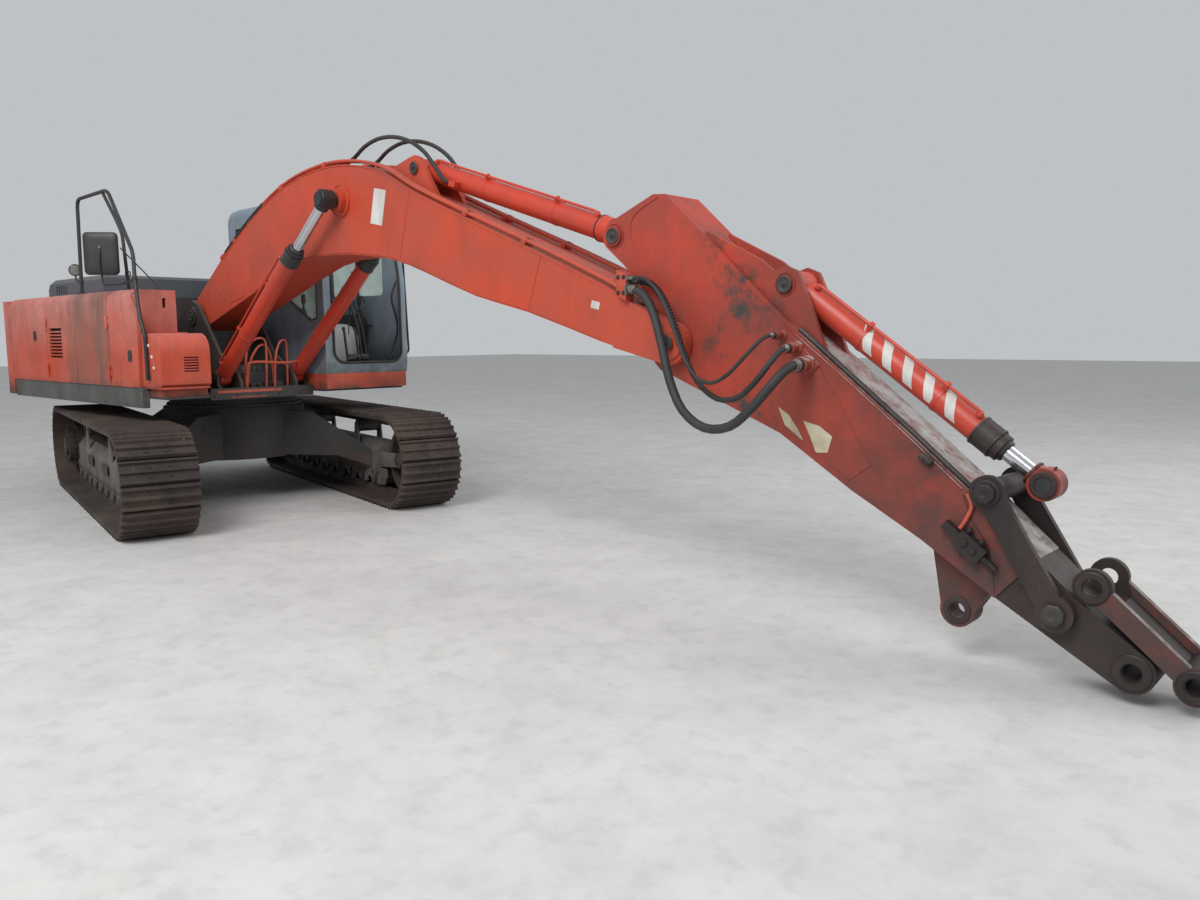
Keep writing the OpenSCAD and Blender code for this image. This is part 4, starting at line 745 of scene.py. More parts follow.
beads = Piece("boom_welds", "boom", BOOM_RED)
for side in SIDES:
    y = MID + side * (BOOM_SIDE + 0.0005)
    for line in (low_line, up_line):
        beads.tube(flat(y, *lifted(line, 0.012)), 0.0042, 6)
    for line in SEAMS:
        beads.tube(flat(y, *line), 0.004, 6)
    beads.tube(hoop("head", MID + side * (BOOM_SIDE + 0.0125), 0.128, 32), 0.005, 6, closed=True)
beads.done(angle=60)

label = Piece("blank_label", "boom", WHITE)
label.slab(MID - BOOM_SIDE - 0.0003, -0.0012, (3.204, 2.833), (3.356, 2.802), (3.292, 2.535), (3.137, 2.566))
label.slab(MID - BOOM_SIDE - 0.0003, -0.0012, (5.52, 1.89), (5.59, 1.872), (5.578, 1.826), (5.508, 1.844))
label.done(bevel=0.0003)


def on_pin(piece, pin, side, y, profile, n=24, spin=0.0):
    """A turned part on a pin's end, y from the boom's plane."""
    x, z = PINS[pin]
    piece.turned((x, MID + side * y, z), Y * side, profile, n, spin)


def pin_end(piece, pin, side, y, r, plate):
    """Retaining plate with a dished middle and a bush ring, and a grease nipple in it."""
    on_pin(piece, pin, side, y, ((0, plate), (0.004, plate), (0.007, plate - 0.004), (0.007, r),
                                 (0.003, r - 0.002), (0.003, r * 0.45), (0.01, r * 0.42), (0.01, 0.007)))
    on_pin(piece, pin, side, y + 0.009,
           ((0, 0.006), (0.006, 0.006), (0.008, 0.0035), (0.014, 0.004), (0.016, 0.0025), (0.016, 0)), 10)


boom_pins = Piece("boom_pin_ends", "boom", DARK)
arm_pins = Piece("arm_pin_ends", "arm", DARK)
rocker_pins = Piece("rocker_pin_ends", "rocker_pair", WORN)
house_pins = Piece("house_pin_ends", "house", DARK)
for side in SIDES:
    pin_end(boom_pins, "lug", side, 0.1525, 0.036, 0.047)
    pin_end(arm_pins, "tip", side, 0.2745, 0.04, 0.052)
    pin_end(arm_pins, "arm_rod", side, 0.1903, 0.04, 0.052)
    pin_end(arm_pins, "bucket_foot", side, 0.1463, 0.036, 0.048)
    on_pin(arm_pins, "rocker", side, 0.2467,
           ((0, 0.052), (0.014, 0.052), (0.017, 0.046), (0.017, 0.02), (0.014, 0.016), (0.014, 0)), 8, 0.5)
    on_pin(rocker_pins, "rocker_head", side, 0.2483,
           ((0, 0.05), (0.02, 0.05), (0.024, 0.044), (0.024, 0.018), (0.02, 0.014), (0.02, 0)), 8, 0.5)
    on_pin(rocker_pins, "rocker_head", side, 0.2305,
           ((0, 0.066), (0.008, 0.066), (0.011, 0.06), (0.011, 0.048)), 28)
    pin_end(house_pins, "foot", side, 0.3243, 0.04, 0.058)
    pin_end(house_pins, "cyl_foot", side, 0.4763, 0.036, 0.05)
boom_pins.done()
arm_pins.done(bevel=0.0015)
rocker_pins.done(bevel=0.0015)
house_pins.done(bevel=0.001)
x, z = PINS["foot"]
spots = [(V((x + 0.07 * cos(a), MID + side * 0.3215, z + 0.07 * sin(a))), Y * side) for side in SIDES
         for a in (0.6, 2.7, 4.7)]
bolts("foot_pin_bolts", "house", spots, 0.009, 0.008, 0.013, DARK)


# Arm.
# A welded box like the boom, worn to grey on top and rusty towards its nose of bare steel.
# It gets its seams, flaked paint marks, the lugs' rims, the port plate and the valve's fittings.
def arm_wear(t, base):
    """Brown rust and soil towards the nose, an oily patch, and worn grey on the arm's top plate."""
    nose = times(t, ramp(t, along(t, "X"), 6.2, 8.0), ramp(t, noise(t, 4.0, 8.0, 0.7), 0.3, 0.58, 0.4, 1.0))
    oily = times(t, band(t, "X", 6.25, 6.45, 6.7, 6.95), ramp(t, noise(t, 3.0, 8.0, 0.75), 0.5, 0.62))
    worn = times(t, ramp(t, upward(t), 0.5, 0.62), ramp(t, along(t, "X"), 6.9, 7.05))
    worn = times(t, worn, ramp(t, noise(t, 9.0, 8.0, 0.75), 0.38, 0.56, 0.15, 0.95))
    for share, shade in ((nose, (0.06, 0.028, 0.024)), (oily, (0.035, 0.04, 0.035)),
                         (worn, (0.42, 0.42, 0.4))):
        base = mix(t, share, base, shade)
    return base


ARM_RED = weathered("orange_arm", (0.5, 0.05, 0.022), (0.34, 0.04, 0.022), (0.07, 0.045, 0.04), 0.34,
                    chips=(0.1, 0.08, 0.07), chip_share=0.02, low=(0.15, 0.9), rough=0.5, extra=arm_wear)
LINE_RED = weathered("line_red", (0.6, 0.1, 0.055), (0.45, 0.09, 0.055), (0.07, 0.05, 0.04), 0.4, rough=0.5)
FLAKED = weathered("flaked_cream", (0.55, 0.5, 0.36), (0.42, 0.36, 0.26), (0.16, 0.08, 0.05), 0.35, rough=0.8,
                   chips=(0.36, 0.045, 0.022), chip_share=0.05, scale=9.0)
paint(ARM_RED, "arm_box bucket_cylinder_lugs")
paint(WORN, "arm_nose arm_pipes bucket_link rockers")
part_paint("bucket_link", ARM_RED, lambda p: p.x > 8.6 and p.z < 0.42 and abs(p.y - MID) > 0.1)
ARM_SIDE = 0.17  # from the boom's middle plane to the outside of the arm's side plates
NEAR_SIDE = MID - ARM_SIDE
arm_beads = Piece("arm_welds", "arm", ARM_RED)
for side in SIDES:
    y = MID + side * (ARM_SIDE + 0.0005)
    curl = flat(y, (5.8, 2.235), (5.782, 2.3), (5.8, 2.382), (5.872, 2.436), (6, 2.49))
    arm_beads.tube(curve_through(curl, 4), 0.0045, 6)
    arm_beads.tube(flat(y, (6.96, 1.66), (7.25, 1.437), (7.59, 1.165), (7.9, 0.905)), 0.0042, 6)
    arm_beads.tube(hoop("arm_rod", MID + side * (ARM_SIDE + 0.002), 0.075, 28), 0.004, 6, closed=True)
    arm_beads.tube(flat(y, (7.905, 0.88), (7.95, 0.76), (8.04, 0.64), (8.075, 0.42)), 0.004, 6)
    arm_beads.tube(hoop("bucket_foot", MID + side * 0.1325, 0.062, 26), 0.0045, 6, closed=True)
arm_beads.done(angle=60)

# The marks lie on the doubler, which is 5 mm thick.
flakes = Piece("flaked_marks", "arm", FLAKED)
flakes.slab(NEAR_SIDE - 0.0053, -0.0008, (6.862, 1.262), (6.925, 1.226), (6.992, 1.14), (7.02, 1.085),
            (6.96, 1.125), (6.905, 1.165))
flakes.slab(NEAR_SIDE - 0.0053, -0.0008, (7.02, 1.195), (7.12, 1.17), (7.196, 1.118), (7.17, 1.03),
            (7.1, 1.025), (7.068, 1.1))
flakes.done()

fittings = Piece("valve_fittings", "arm", WORN)
valve_u = V((0.2, 0, -0.157)).normalized()
valve_n = V((-valve_u.z, 0, valve_u.x))
valve = V((7.9, NEAR_SIDE, 0.677))
for s, h, r, l in ((0.02, 0.045, 0.014, 0.03), (0.1, 0.045, 0.016, 0.026), (0.06, -0.045, 0.012, 0.022)):
    fittings.turned(valve + valve_u * s + valve_n * h - Y * 0.025, valve_n if h > 0 else -valve_n,
                    ((0, r), (l * 0.5, r), (l * 0.55, r * 0.7), (l, r * 0.7), (l, 0)), 6)
fittings.turned(valve + valve_u * 0.045 - Y * 0.0495, -Y,
                ((0, 0.02), (0.006, 0.02), (0.008, 0.012), (0.014, 0.012), (0.014, 0)), 18)
fittings.turned(valve + valve_u * 0.105 - Y * 0.0495, -Y,
                ((0, 0.014), (0.01, 0.014), (0.012, 0.009), (0.012, 0)), 6)
for k in range(5):
    fittings.turned(valve + valve_u * (0.165 + 0.014 * k) - Y * 0.025, valve_u,
                    ((0, 0.0175), (0.003, 0.0205), (0.006, 0.0205), (0.009, 0.0175)), 16)
fittings.tube(flat(NEAR_SIDE - 0.012, (7.69, 1.06), (7.745, 1.018)), 0.022, 8)
fittings.turned((7.705, NEAR_SIDE - 0.03, 1.045), -Y,
                ((0, 0.014), (0.008, 0.014), (0.01, 0.008), (0.01, 0)), 6)
fittings.done(bevel=0.001)

arm_line = Piece("arm_line", "arm", LINE_RED)
arm_line.tube(curve_through([(7.93, NEAR_SIDE - 0.013, 0.888), (7.955, NEAR_SIDE - 0.016, 0.83),
                             (7.93, NEAR_SIDE - 0.02, 0.76), (7.905, NEAR_SIDE - 0.024, 0.715)], 4), 0.01, 10)
arm_line.done()

port_plate = Piece("port_plate", "arm", ARM_RED)
port_plate.slab(NEAR_SIDE - 0.0043, -0.01, (7.11, 1.5), (7.045, 1.425), (6.83, 1.64), (6.88, 1.712))
for x, z, r in ((7.04, 1.5, 0.036), (6.975, 1.59, 0.024), (6.885, 1.66, 0.018)):
    port_plate.turned((x, NEAR_SIDE - 0.0045, z), -Y, ((0, r + 0.016), (0.022, r + 0.012),
                                                       (0.024, r + 0.0005), (0.07, r + 0.0005),
                                                       (0.071, r + 0.008), (0.092, r + 0.008),
                                                       (0.094, r + 0.0005)), 24)
port_plate.done(bevel=0.001)

lug_ring = Piece("lug_rings", "arm", WORN)
for side in SIDES:
    lug_ring.collar(7.856, MID + side * 0.0603, 0.265, side,
                    ((0.07, 0), (0.07, 0.006), (0.066, 0.008), (0.044, 0.008), (0.044, 0)), 28)
    lug_ring.collar(8.68, MID + side * 0.1603, 0.156, side, ((0.084, 0), (0.084, 0.004), (0.078, 0.009),
                                                             (0.046, 0.009), (0.044, 0.006), (0.044, 0)), 32)
    for x, z in ((8.5, 0.512), (8.925, 0.148)):
        lug_ring.collar(x, MID + side * 0.1605, z, side, ((0.076, 0), (0.076, 0.006), (0.07, 0.011),
                                                          (0.046, 0.011), (0.043, 0.008), (0.043, 0)), 32)
lug_ring.done()


# Cylinders.
# Steel barrels, painted red, with black glands bolted on and chromed rods; welded eyes sit on the pins.
# Each gets its gland's rings and bolts and an oil line in bands; the bucket's one has slanted white bars.
CYL_RED = weathered("cylinder_red", (0.6, 0.05, 0.022), (0.5, 0.052, 0.028), (0.1, 0.05, 0.04),
                    0.22, rough=0.38)
BLACK = weathered("painted_black", (0.018, 0.018, 0.019), (0.03, 0.03, 0.032), (0.07, 0.06, 0.05),
                  0.22, rough=0.45)
CHROME = weathered("chrome_rod", (0.72, 0.73, 0.75), (0.66, 0.67, 0.7), (0.3, 0.26, 0.22), 0.12, rough=0.16,
                   metal=1.0, bump=0.02)
GREASED = weathered("greased_orange", (0.38, 0.045, 0.022), (0.22, 0.035, 0.022), (0.012, 0.011, 0.011), 0.95,
                    chips=(0.25, 0.22, 0.2), chip_share=0.03, rough=0.35)
paint(CYL_RED, "boom_cylinder_barrels arm_cylinder_barrel bucket_cylinder_barrel")
paint(CHROME, "boom_cylinder_rods arm_cylinder_rod bucket_cylinder_rod")


def near(pin, r):
    """Within r of a pin, seen from the side."""
    x, z = PINS[pin]
    return lambda p: hypot(p.x - x, p.z - z) < r


def beyond(foot, rod, s):
    """Past s metres along the line from one pin to another, seen from the side."""
    a = V(PINS[foot])
    d = (V(PINS[rod]) - a).normalized()
    return lambda p: (V((p.x, p.z)) - a).dot(d) > s


part_paint("boom_cylinder_rods", BLACK, near("head", 0.115))
part_paint("boom_cylinder_barrels", BLACK, beyond("cyl_foot", "head", 1.335))
part_paint("arm_cylinder_rod", CYL_RED, near("arm_rod", 0.12))
part_paint("bucket_cylinder_rod", GREASED, near("bucket_rod", 0.105))
part_paint("bucket_cylinder_barrel", WORN, beyond("bucket_foot", "bucket_rod", 1.27))


def barrel_reach(node, at, u):
    """How far a barrel's node reaches along u, and its greatest radius in the stretch of the gland."""
    place = NODES[node].matrix_world
    spots = [place @ v.co - at for v in NODES[node].data.vertices]
    length = max(p.dot(u) for p in spots) - 0.008
    radii = [(p - u * p.dot(u)).length for p in spots if length - 0.16 < p.dot(u) < length - 0.03]
    return length, max(r for r in radii if r < 0.16) - 0.008


def barrel_dress(name, body, at, u, n, y, l, r, rod_r):
    head = Piece(name + "_gland", body, BLACK)
    head.turned(at + u * (l + 0.0085), u, ((0, rod_r + 0.016), (0.01, rod_r + 0.014), (0.016, rod_r + 0.008),
                                           (0.018, rod_r + 0.001), (0.002, rod_r + 0.001)), 32)
    for s in (l - 0.15, l - 0.045):
        head.turned(at + u * (s - 0.006), u,
                    ((0, r + 0.009), (0.002, r + 0.011), (0.01, r + 0.011), (0.012, r + 0.009)), 40)
    head.done()
    bolts(name + "_gland_bolts", body, ring_of(at + u * (l - 0.0398), u, r - 0.003, 12), 0.0075,
          0.01, 0.009, BLACK)
    line = Piece(name + "_line", body, CYL_RED)
    out = (Y * (0.5 if y > 0 else -0.5) + n).normalized()
    first, last = 0.135, l - 0.185
    ends = ((first, -0.003), (first, 0.03), (last, 0.03), (last, -0.003))
    path = [at + u * s + out * (r + h) for s, h in ends]
    line.bent(path, 0.028, 0.01, 12)
    for s in (0.36, 0.72):
        centre = at + u * (l * s)
        line.turned(centre - u * 0.012, u,
                    ((0, r + 0.0006), (0.001, r + 0.0035), (0.023, r + 0.0035), (0.024, r + 0.0006)), 36)
        line.prism([centre + out * (r + 0.002) + u * a + out.cross(u) * b for a, b in ((-0.012, -0.018),
                    (0.012, -0.018), (0.012, 0.018), (-0.012, 0.018))], out * 0.042)
    for s in (first, last):
        line.turned(at + u * s + out * (r - 0.003), out,
                    ((0, 0.02), (0.021, 0.02), (0.026, 0.014), (0.034, 0.014)), 8)
    line.done(bevel=0.0008)


BARRELS = (
    ("boom_right", "boom_cylinders", "boom_cylinder_barrels", "cyl_foot", "head", -0.384, 0.045),
    ("boom_left", "boom_cylinders", "boom_cylinder_barrels", "cyl_foot", "head", 0.384, 0.045),
    ("arm", "arm_cylinder", "arm_cylinder_barrel", "lug", "arm_rod", 0.0, 0.05),
    ("bucket", "bucket_cylinder", "bucket_cylinder_barrel", "bucket_foot", "bucket_rod", 0.0, 0.042))
for name, body, node, foot, rod, y, rod_r in BARRELS:
    at, u, n = frame_of(foot, rod)
    at = at + Y * y
    l, r = barrel_reach(node, at, u)
    barrel_dress(name + "_cylinder", body, at, u, n, y, l, r, rod_r)

# The last of them is the bucket's cylinder, which wears the bars: thin strips that wind round its near side.
bars = Piece("slanted_bars", "bucket_cylinder", WHITE)
SLICES, BAR_LENGTH, BAR_SLANT = 12, 0.062, 0.105
for start in (0.46, 0.6, 0.74, 0.88, 1.02):
    rows = []
    for k in range(SLICES + 1):
        angle = radians(-62 + 124 * k / SLICES) + 0.55
        shift = start + BAR_SLANT * (1 - k / SLICES)
        out = n * sin(angle) - Y * cos(angle)
        rows.append([at + u * (shift + s) + out * (r + h)
                     for s, h in ((0, 0.0004), (BAR_LENGTH, 0.0004), (BAR_LENGTH, 0.0014), (0, 0.0014))])
    bars.rings(rows)
bars.done(angle=60)

bush = Piece("bucket_rod_bush", "bucket_rod", WORN)
# The thin black disc in each face of the rod's eye is painted shade: a dark sheet over the bore's opening.
bore_shade = Piece("bucket_rod_bore_shade", "bucket_rod", BLACK)
low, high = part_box("bucket_cylinder_rod")
x, z = PINS["bucket_rod"]
for side, face in ((-1, low[1]), (1, high[1])):
    bush.collar(x, face, z, side, ((0.064, -0.001), (0.064, 0.005), (0.06, 0.008), (0.042, 0.008),
                                   (0.04, 0.006), (0.04, -0.001)), 32)
    bore_shade.turned((x, face, z), Y * side, ((0.0004, 0.0395), (0.0012, 0.0395)), 28)
NECK = 1.6944 - 0.078  # from the foot's pin to where the eye is welded on the rod
bush.tube(circle(at + u * NECK, n, Y, 0.06, 28), 0.006, 8, closed=True)
nipple = n - u * 0.2
bush.turned(V((x, MID, z)) + nipple.normalized() * 0.0765, nipple,
            ((0, 0.009), (0.006, 0.009), (0.009, 0.005), (0.018, 0.0055), (0.02, 0)), 10)
bush.done()
bore_shade.done()

eyes = Piece("boom_rod_eye_caps", "boom_rods", BLACK)
for side in SIDES:
    on_pin(eyes, "head", side, 0.4345,
           ((0, 0.07), (0.006, 0.07), (0.012, 0.062), (0.012, 0.044), (0.006, 0.042), (0.006, 0)), 32)
eyes.done(bevel=0.001)


# Sides of the house.
# Pressed steel doors and panels in a bleached orange, with grey skirts bolted on below them.
# They get latches, the tool box's louvre and lip, the studded step strip, treads and bolt heads.
def house_wear(t, base):
    """Sun-bleached upper halves and a brown, dirty stretch in the middle of the right side."""
    bleached = times(t, ramp(t, along(t, "Z"), 1.5, 2.0), ramp(t, noise(t, 1.8, 5.0), 0.3, 0.6, 0.3, 0.95))
    streaks = ramp(t, noise(t, 3.5, 8.0, 0.7, (1, 1, 0.3)), 0.25, 0.6)
    brown = times(t, band(t, "X", -0.9, -0.52, 0.24, 0.31), streaks)
    brown = times(t, brown, ramp(t, along(t, "Y"), -1.2, -1.3, 0.0, 0.85))
    return mix(t, brown, mix(t, bleached, base, (0.64, 0.245, 0.205)), (0.2, 0.105, 0.075))


ORANGE = weathered("orange_house", (0.56, 0.068, 0.026), (0.56, 0.1, 0.055), RED_GRIME, 0.34,
                   chips=(0.1, 0.06, 0.05), chip_share=0.02, low=(1.12, 1.3), rough=0.55, extra=house_wear)
SKIRT = weathered("skirt_grey", (0.07, 0.074, 0.076), (0.115, 0.115, 0.112), (0.07, 0.055, 0.04), 0.5,
                  rough=0.7, chips=(0.36, 0.26, 0.12), chip_share=0.07)
paint(ORANGE, "cab_base counterweight side_panels pump_door front_right_door left_door tool_box")
paint(SKIRT, "side_skirts")


def latch(name, body, x, side, z):
    y0 = side * 1.3553
    p = Piece(name, body, BLACK)
    outer = loop((x, y0, z), X, Z, 0.085, 0.105, 0.018, 4)
    inner = loop((x, y0, z), X, Z, 0.063, 0.083, 0.012, 4)
    rim = Y * (side * 0.003)
    p.rings([outer, [q + rim for q in outer], [q + rim for q in inner], inner], closed=True)
    p.prism(inner, (0, side * 0.0008, 0))
    p.prism(loop((x, y0 + side * 0.0009, z - 0.006), X, Z, 0.046, 0.03, 0.008, 3), (0, side * 0.007, 0))
    p.turned((x, y0 + side * 0.0009, z + 0.026), Y * side,
             ((0, 0.01), (0.004, 0.01), (0.005, 0.006), (0.005, 0)), 16)
    p.done(bevel=0.0006)


latch("front_latch", "front_right_leaf", 0.758, -1, 1.511)
latch("pump_latch", "rear_right_door", -1.661, -1, 1.702)
latch("left_latch", "rear_left_door", -1.661, 1, 1.702)

louvre = Piece("tool_box_louvre_and_shade", "house", BLACK)
# The plate behind the slats is painted shade: a black sheet that darkens the openings between them.
louvre.block((1.2735, -1.128, 1.362), (1.2785, -0.978, 1.52))
for i in range(7):
    z = 1.3655 + i * 0.024
    louvre.slab(-1.121, 0.138, (1.281, z), (1.299, z - 0.006), (1.299, z - 0.002), (1.281, z + 0.004))
louvre.done()

lip = Piece("tool_box_lip", "house", ORANGE)
lip.slab(-1.318, 0.42, (0.76, 1.2395), (1.3, 1.2395), (1.326, 1.233), (1.33, 1.222), (0.76, 1.222))
lip.done(bevel=0.003, segments=2)

strip = Piece("step_strip", "house", LINE_RED)
path = curve_through(flat(-1.3262, (0.985, 1.7), (1.055, 1.64), (1.12, 1.56), (1.165, 1.45), (1.18, 1.38)), 3)
rows = []
for i, p in enumerate(path):
    d = (path[min(i + 1, len(path) - 1)] - path[max(i - 1, 0)]).normalized()
    w = V((-d.z, 0, d.x)) * 0.032
    rows.append([p - w, p + w, p + w + Y * 0.003, p - w + Y * 0.003])
strip.rings(rows)
strip.done(bevel=0.0008)

studs = Piece("step_studs", "house", WHITE)
for i in (2, 6, 10, 14):
    studs.turned(path[i] - Y * 0.0002, -Y,
                 ((0, 0.016), (0.004, 0.015), (0.008, 0.01), (0.01, 0.004), (0.01, 0)), 18)
studs.done()

treads = Piece("step_treads", "house", BLACK)
for x0, x1, y0, y1, z in ((0.84, 1.06, -1.22, -0.97, 1.7203), (-0.4, 0.64, -1.2, -1.02, 2.1102)):
    nx, ny = int((x1 - x0) / 0.055), int((y1 - y0) / 0.045)
    for i in range(nx):
        for j in range(ny):
            x, y = x0 + (i + 0.5 + 0.25 * (-1) ** j) * (x1 - x0) / nx, y0 + (j + 0.5) * (y1 - y0) / ny
            s = 0.004 if (i + j) % 2 else -0.004
            treads.prism([(x - 0.018, y - s, z), (x + 0.018, y + s - 0.003, z), (x + 0.018, y + s + 0.003, z),
                          (x - 0.018, y + 0.006 - s, z)], (0, 0, 0.003))
treads.done()

edge = Piece("deck_edge_strip", "house", LINE_RED)
edge.block((1.0403, -0.7, 1.15), (1.044, -0.04, 1.176))
edge.block((1.0403, -0.56, 1.104), (1.043, -0.2, 1.112))
edge.done(bevel=0.001)
spots = [(V((1.0403, y, 1.125)), X) for y in (-0.72, -0.5, -0.28, -0.06, 0.16)]
bolts("deck_bolts", "house", spots, 0.011, 0.01, 0.016, DARK)
SKIRT_BOLTS = (-2.3, -1.9, -1.5, -1.1, -0.4, 0.1, 0.6)  # the left skirt ends after four of them
spots = [(V((x, side * 1.3453, 1.075)), Y * side) for side, n in ((-1, 7), (1, 4)) for x in SKIRT_BOLTS[:n]]
bolts("skirt_bolts", "house", spots, 0.009, 0.007, 0.013, SKIRT)


# Deck between the boom's cylinders.
# Rigid steel lines, painted red, that bow across the deck, one of them with a white end.
# The manifold below them is a stack of steel blocks with plugs and ports screwed in.
deck_lines = Piece("deck_lines", "house", LINE_RED)
for pts, r in (([(0.975, -0.37, 1.19), (0.99, -0.365, 1.33), (1.0, -0.35, 1.42), (1.01, -0.24, 1.436),
                 (1.012, -0.06, 1.425), (1.008, 0.11, 1.425), (0.985, 0.205, 1.448)], 0.014),
               ([(0.93, -0.365, 1.19), (0.96, -0.362, 1.4), (0.98, -0.34, 1.58), (0.99, -0.25, 1.66),
                 (0.985, -0.165, 1.64), (0.96, -0.14, 1.5), (0.93, -0.14, 1.19)], 0.011),
               ([(0.9, -0.32, 1.19), (0.925, -0.3, 1.42), (0.945, -0.235, 1.56), (0.95, -0.17, 1.6),
                 (0.94, -0.11, 1.56), (0.915, -0.06, 1.42), (0.9, -0.04, 1.19)], 0.011),
               ([(0.95, -0.06, 1.19), (0.965, -0.045, 1.48), (0.97, 0.0, 1.62), (0.968, 0.06, 1.64),
                 (0.955, 0.085, 1.56), (0.93, 0.09, 1.19)], 0.011)):
    deck_lines.tube(curve_through(pts, 5), r, 12)
deck_lines.done()

white_end = Piece("line_end", "house", WHITE)
white_end.turned((0.992, 0.18, 1.44), (-0.35, 0.9, 0.32),
                 ((0, 0.0165), (0.004, 0.018), (0.04, 0.018), (0.044, 0.015), (0.06, 0.015), (0.06, 0)), 18)
white_end.done()

manifold = Piece("deck_manifold", "house", DARK)
manifold.block((0.62, -0.35, 1.151), (0.9, 0.06, 1.235))
manifold.block((0.66, -0.31, 1.235), (0.84, -0.08, 1.33))
manifold.block((0.88, -0.385, 1.151), (1.015, 0.11, 1.19))
for k in range(4):
    manifold.turned((0.75, -0.28 + 0.06 * k, 1.33), Z,
                    ((0, 0.018), (0.04, 0.018), (0.042, 0.012), (0.07, 0.012), (0.07, 0)), 16)
    manifold.turned((0.9, -0.29 + 0.08 * k, 1.21), X,
                    ((0, 0.02), (0.02, 0.02), (0.022, 0.014), (0.03, 0.014), (0.03, 0)), 6)
manifold.done(bevel=0.003)


# Rails and mirror.
# Steel tube, bent and painted black, on bolted feet: the guard rail, its stay, and the cab's grab rail.
# The mirror in its plastic housing and a work lamp hang from it on thin arms.
LAMP = plain("lamp_lens", (0.22, 0.22, 0.21), rough=0.12)
paint(BLACK, "handrails side_mirror")
RAIL_FEET = ((-0.56, -1.25), (0.42, -1.19))
rails = Piece("guard_rail", "house", BLACK)
rails.bent([(-0.56, -1.25, 2.1105), (-0.52, -1.25, 3.025), (0.222, -1.25, 3.04), (0.79, -1.285, 2.43),
            (0.83, -1.3, 2.2), (0.985, -1.343, 1.86), (1.075, -1.343, 1.7), (1.075, -1.343, 1.31)],
           0.085, 0.017, 16, 8)
rails.bent([(0.11, -1.25, 3.03), (0.33, -1.23, 2.76), (0.37, -1.2, 2.64), (0.42, -1.19, 2.1105)],
           0.06, 0.015, 16, 6)
rails.bent([(0.5, -1.45, 2.2385), (0.5, -1.45, 2.15), (0.7, -1.37, 2.15), (0.834, -1.3, 2.19)],
           0.045, 0.009, 14, 6)
rails.bent([(1.13, 1.3205, 2.5), (1.13, 1.4, 2.5), (1.19, 1.4, 1.5), (1.19, 1.3205, 1.5)],
           0.045, 0.012, 16, 6)
for x, y in RAIL_FEET:
    rails.turned((x, y, 2.1103), Z,
                 ((0, 0.044), (0.006, 0.044), (0.008, 0.03), (0.016, 0.024), (0.018, 0.018)), 24)
for x, z in ((1.13, 2.5), (1.19, 1.5)):
    rails.turned((x, 1.3203, z), Y, ((0, 0.028), (0.005, 0.028), (0.007, 0.016), (0.016, 0.0135)), 20)
rails.block((1.055, -1.352, 1.3), (1.095, -1.3235, 1.362))
rails.turned((0.834, -1.3, 2.172), (0.18, -0.06, 1),
             ((0, 0.019), (0.002, 0.024), (0.034, 0.024), (0.036, 0.019)), 20)
rails.tube([(0.352, -1.22, 2.505), (0.545, -1.115, 2.3), (0.716, -1.02, 2.112)], 0.006, 10)
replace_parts(rails.done(), "handrails")
spots = [spot for x, y in RAIL_FEET for spot in ring_of((x, y, 2.1163), Z, 0.035, 4, 0.5)]
bolts("rail_bolts", "house", spots, 0.0055, 0.005, 0.008, BLACK)

MIRROR_TURN = radians(48)
face_u = V((cos(MIRROR_TURN), sin(MIRROR_TURN), 0))
face_n = V((-sin(MIRROR_TURN), cos(MIRROR_TURN), 0))
centre = V((0.5, -1.45, 2.43))
knob = centre + Z * 0.05
shell = Piece("mirror_housing", "house", BLACK)
shell.rings([loop(centre + face_n * h, face_u, Z, w, t, c, 6) for h, w, t, c in ((-0.022, 0.18, 0.26, 0.05),
             (-0.02, 0.24, 0.32, 0.052), (-0.008, 0.288, 0.368, 0.045), (0.006, 0.3, 0.38, 0.04),
             (0.022, 0.3, 0.38, 0.04), (0.022, 0.284, 0.364, 0.034), (0.016, 0.28, 0.36, 0.032))])
shell.turned(knob - face_n * 0.0205, -face_n, ((0, 0.022), (0.005, 0.022), (0.008, 0.014), (0.008, 0)), 18)
shell.bent([centre - face_n * h + Z * z
            for h, z in ((0.022, 0.05), (0.04, 0), (0.034, -0.14), (0.01, -0.192))], 0.03, 0.008, 12)
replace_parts(shell.done(bevel=0.001), "side_mirror")

pane = Piece("mirror_pane", "house", CHROME)
pane.prism(loop(centre + face_n * 0.0163, face_u, Z, 0.276, 0.356, 0.031, 6), face_n * 0.002)
pane.done()

bolt_dot = Piece("mirror_bolt", "house", STEEL)
bolt_dot.turned(knob - face_n * 0.0288, -face_n, ((0, 0.009), (0.004, 0.009), (0.006, 0.005), (0.006, 0)), 6)
bolt_dot.done()

lamp = Piece("work_lamp", "house", BLACK)
at = V((-0.625, -1.275, 2.345))
ahead_out = V((1, -0.35, 0))
lamp.turned(at, ahead_out, ((-0.045, 0.02), (-0.04, 0.04), (-0.015, 0.055), (0.02, 0.058), (0.034, 0.06),
                            (0.036, 0.054), (0.026, 0.052)), 28)
lamp.bent([at - Z * 0.055, at + V((0.01, 0, -0.105)), (-0.551, -1.25, 2.23)], 0.02, 0.008, 10)
lamp.turned((-0.5545, -1.25, 2.212), (0.04, 0, 1),
            ((0, 0.0175), (0.002, 0.023), (0.032, 0.023), (0.034, 0.0175)), 18)
lamp.done()

lens = Piece("work_lamp_lens", "house", LAMP)
lens.turned(at + ahead_out.normalized() * 0.027, ahead_out,
            ((0, 0.0515), (0.003, 0.05), (0.007, 0.036), (0.009, 0.0)), 28)
lens.done()


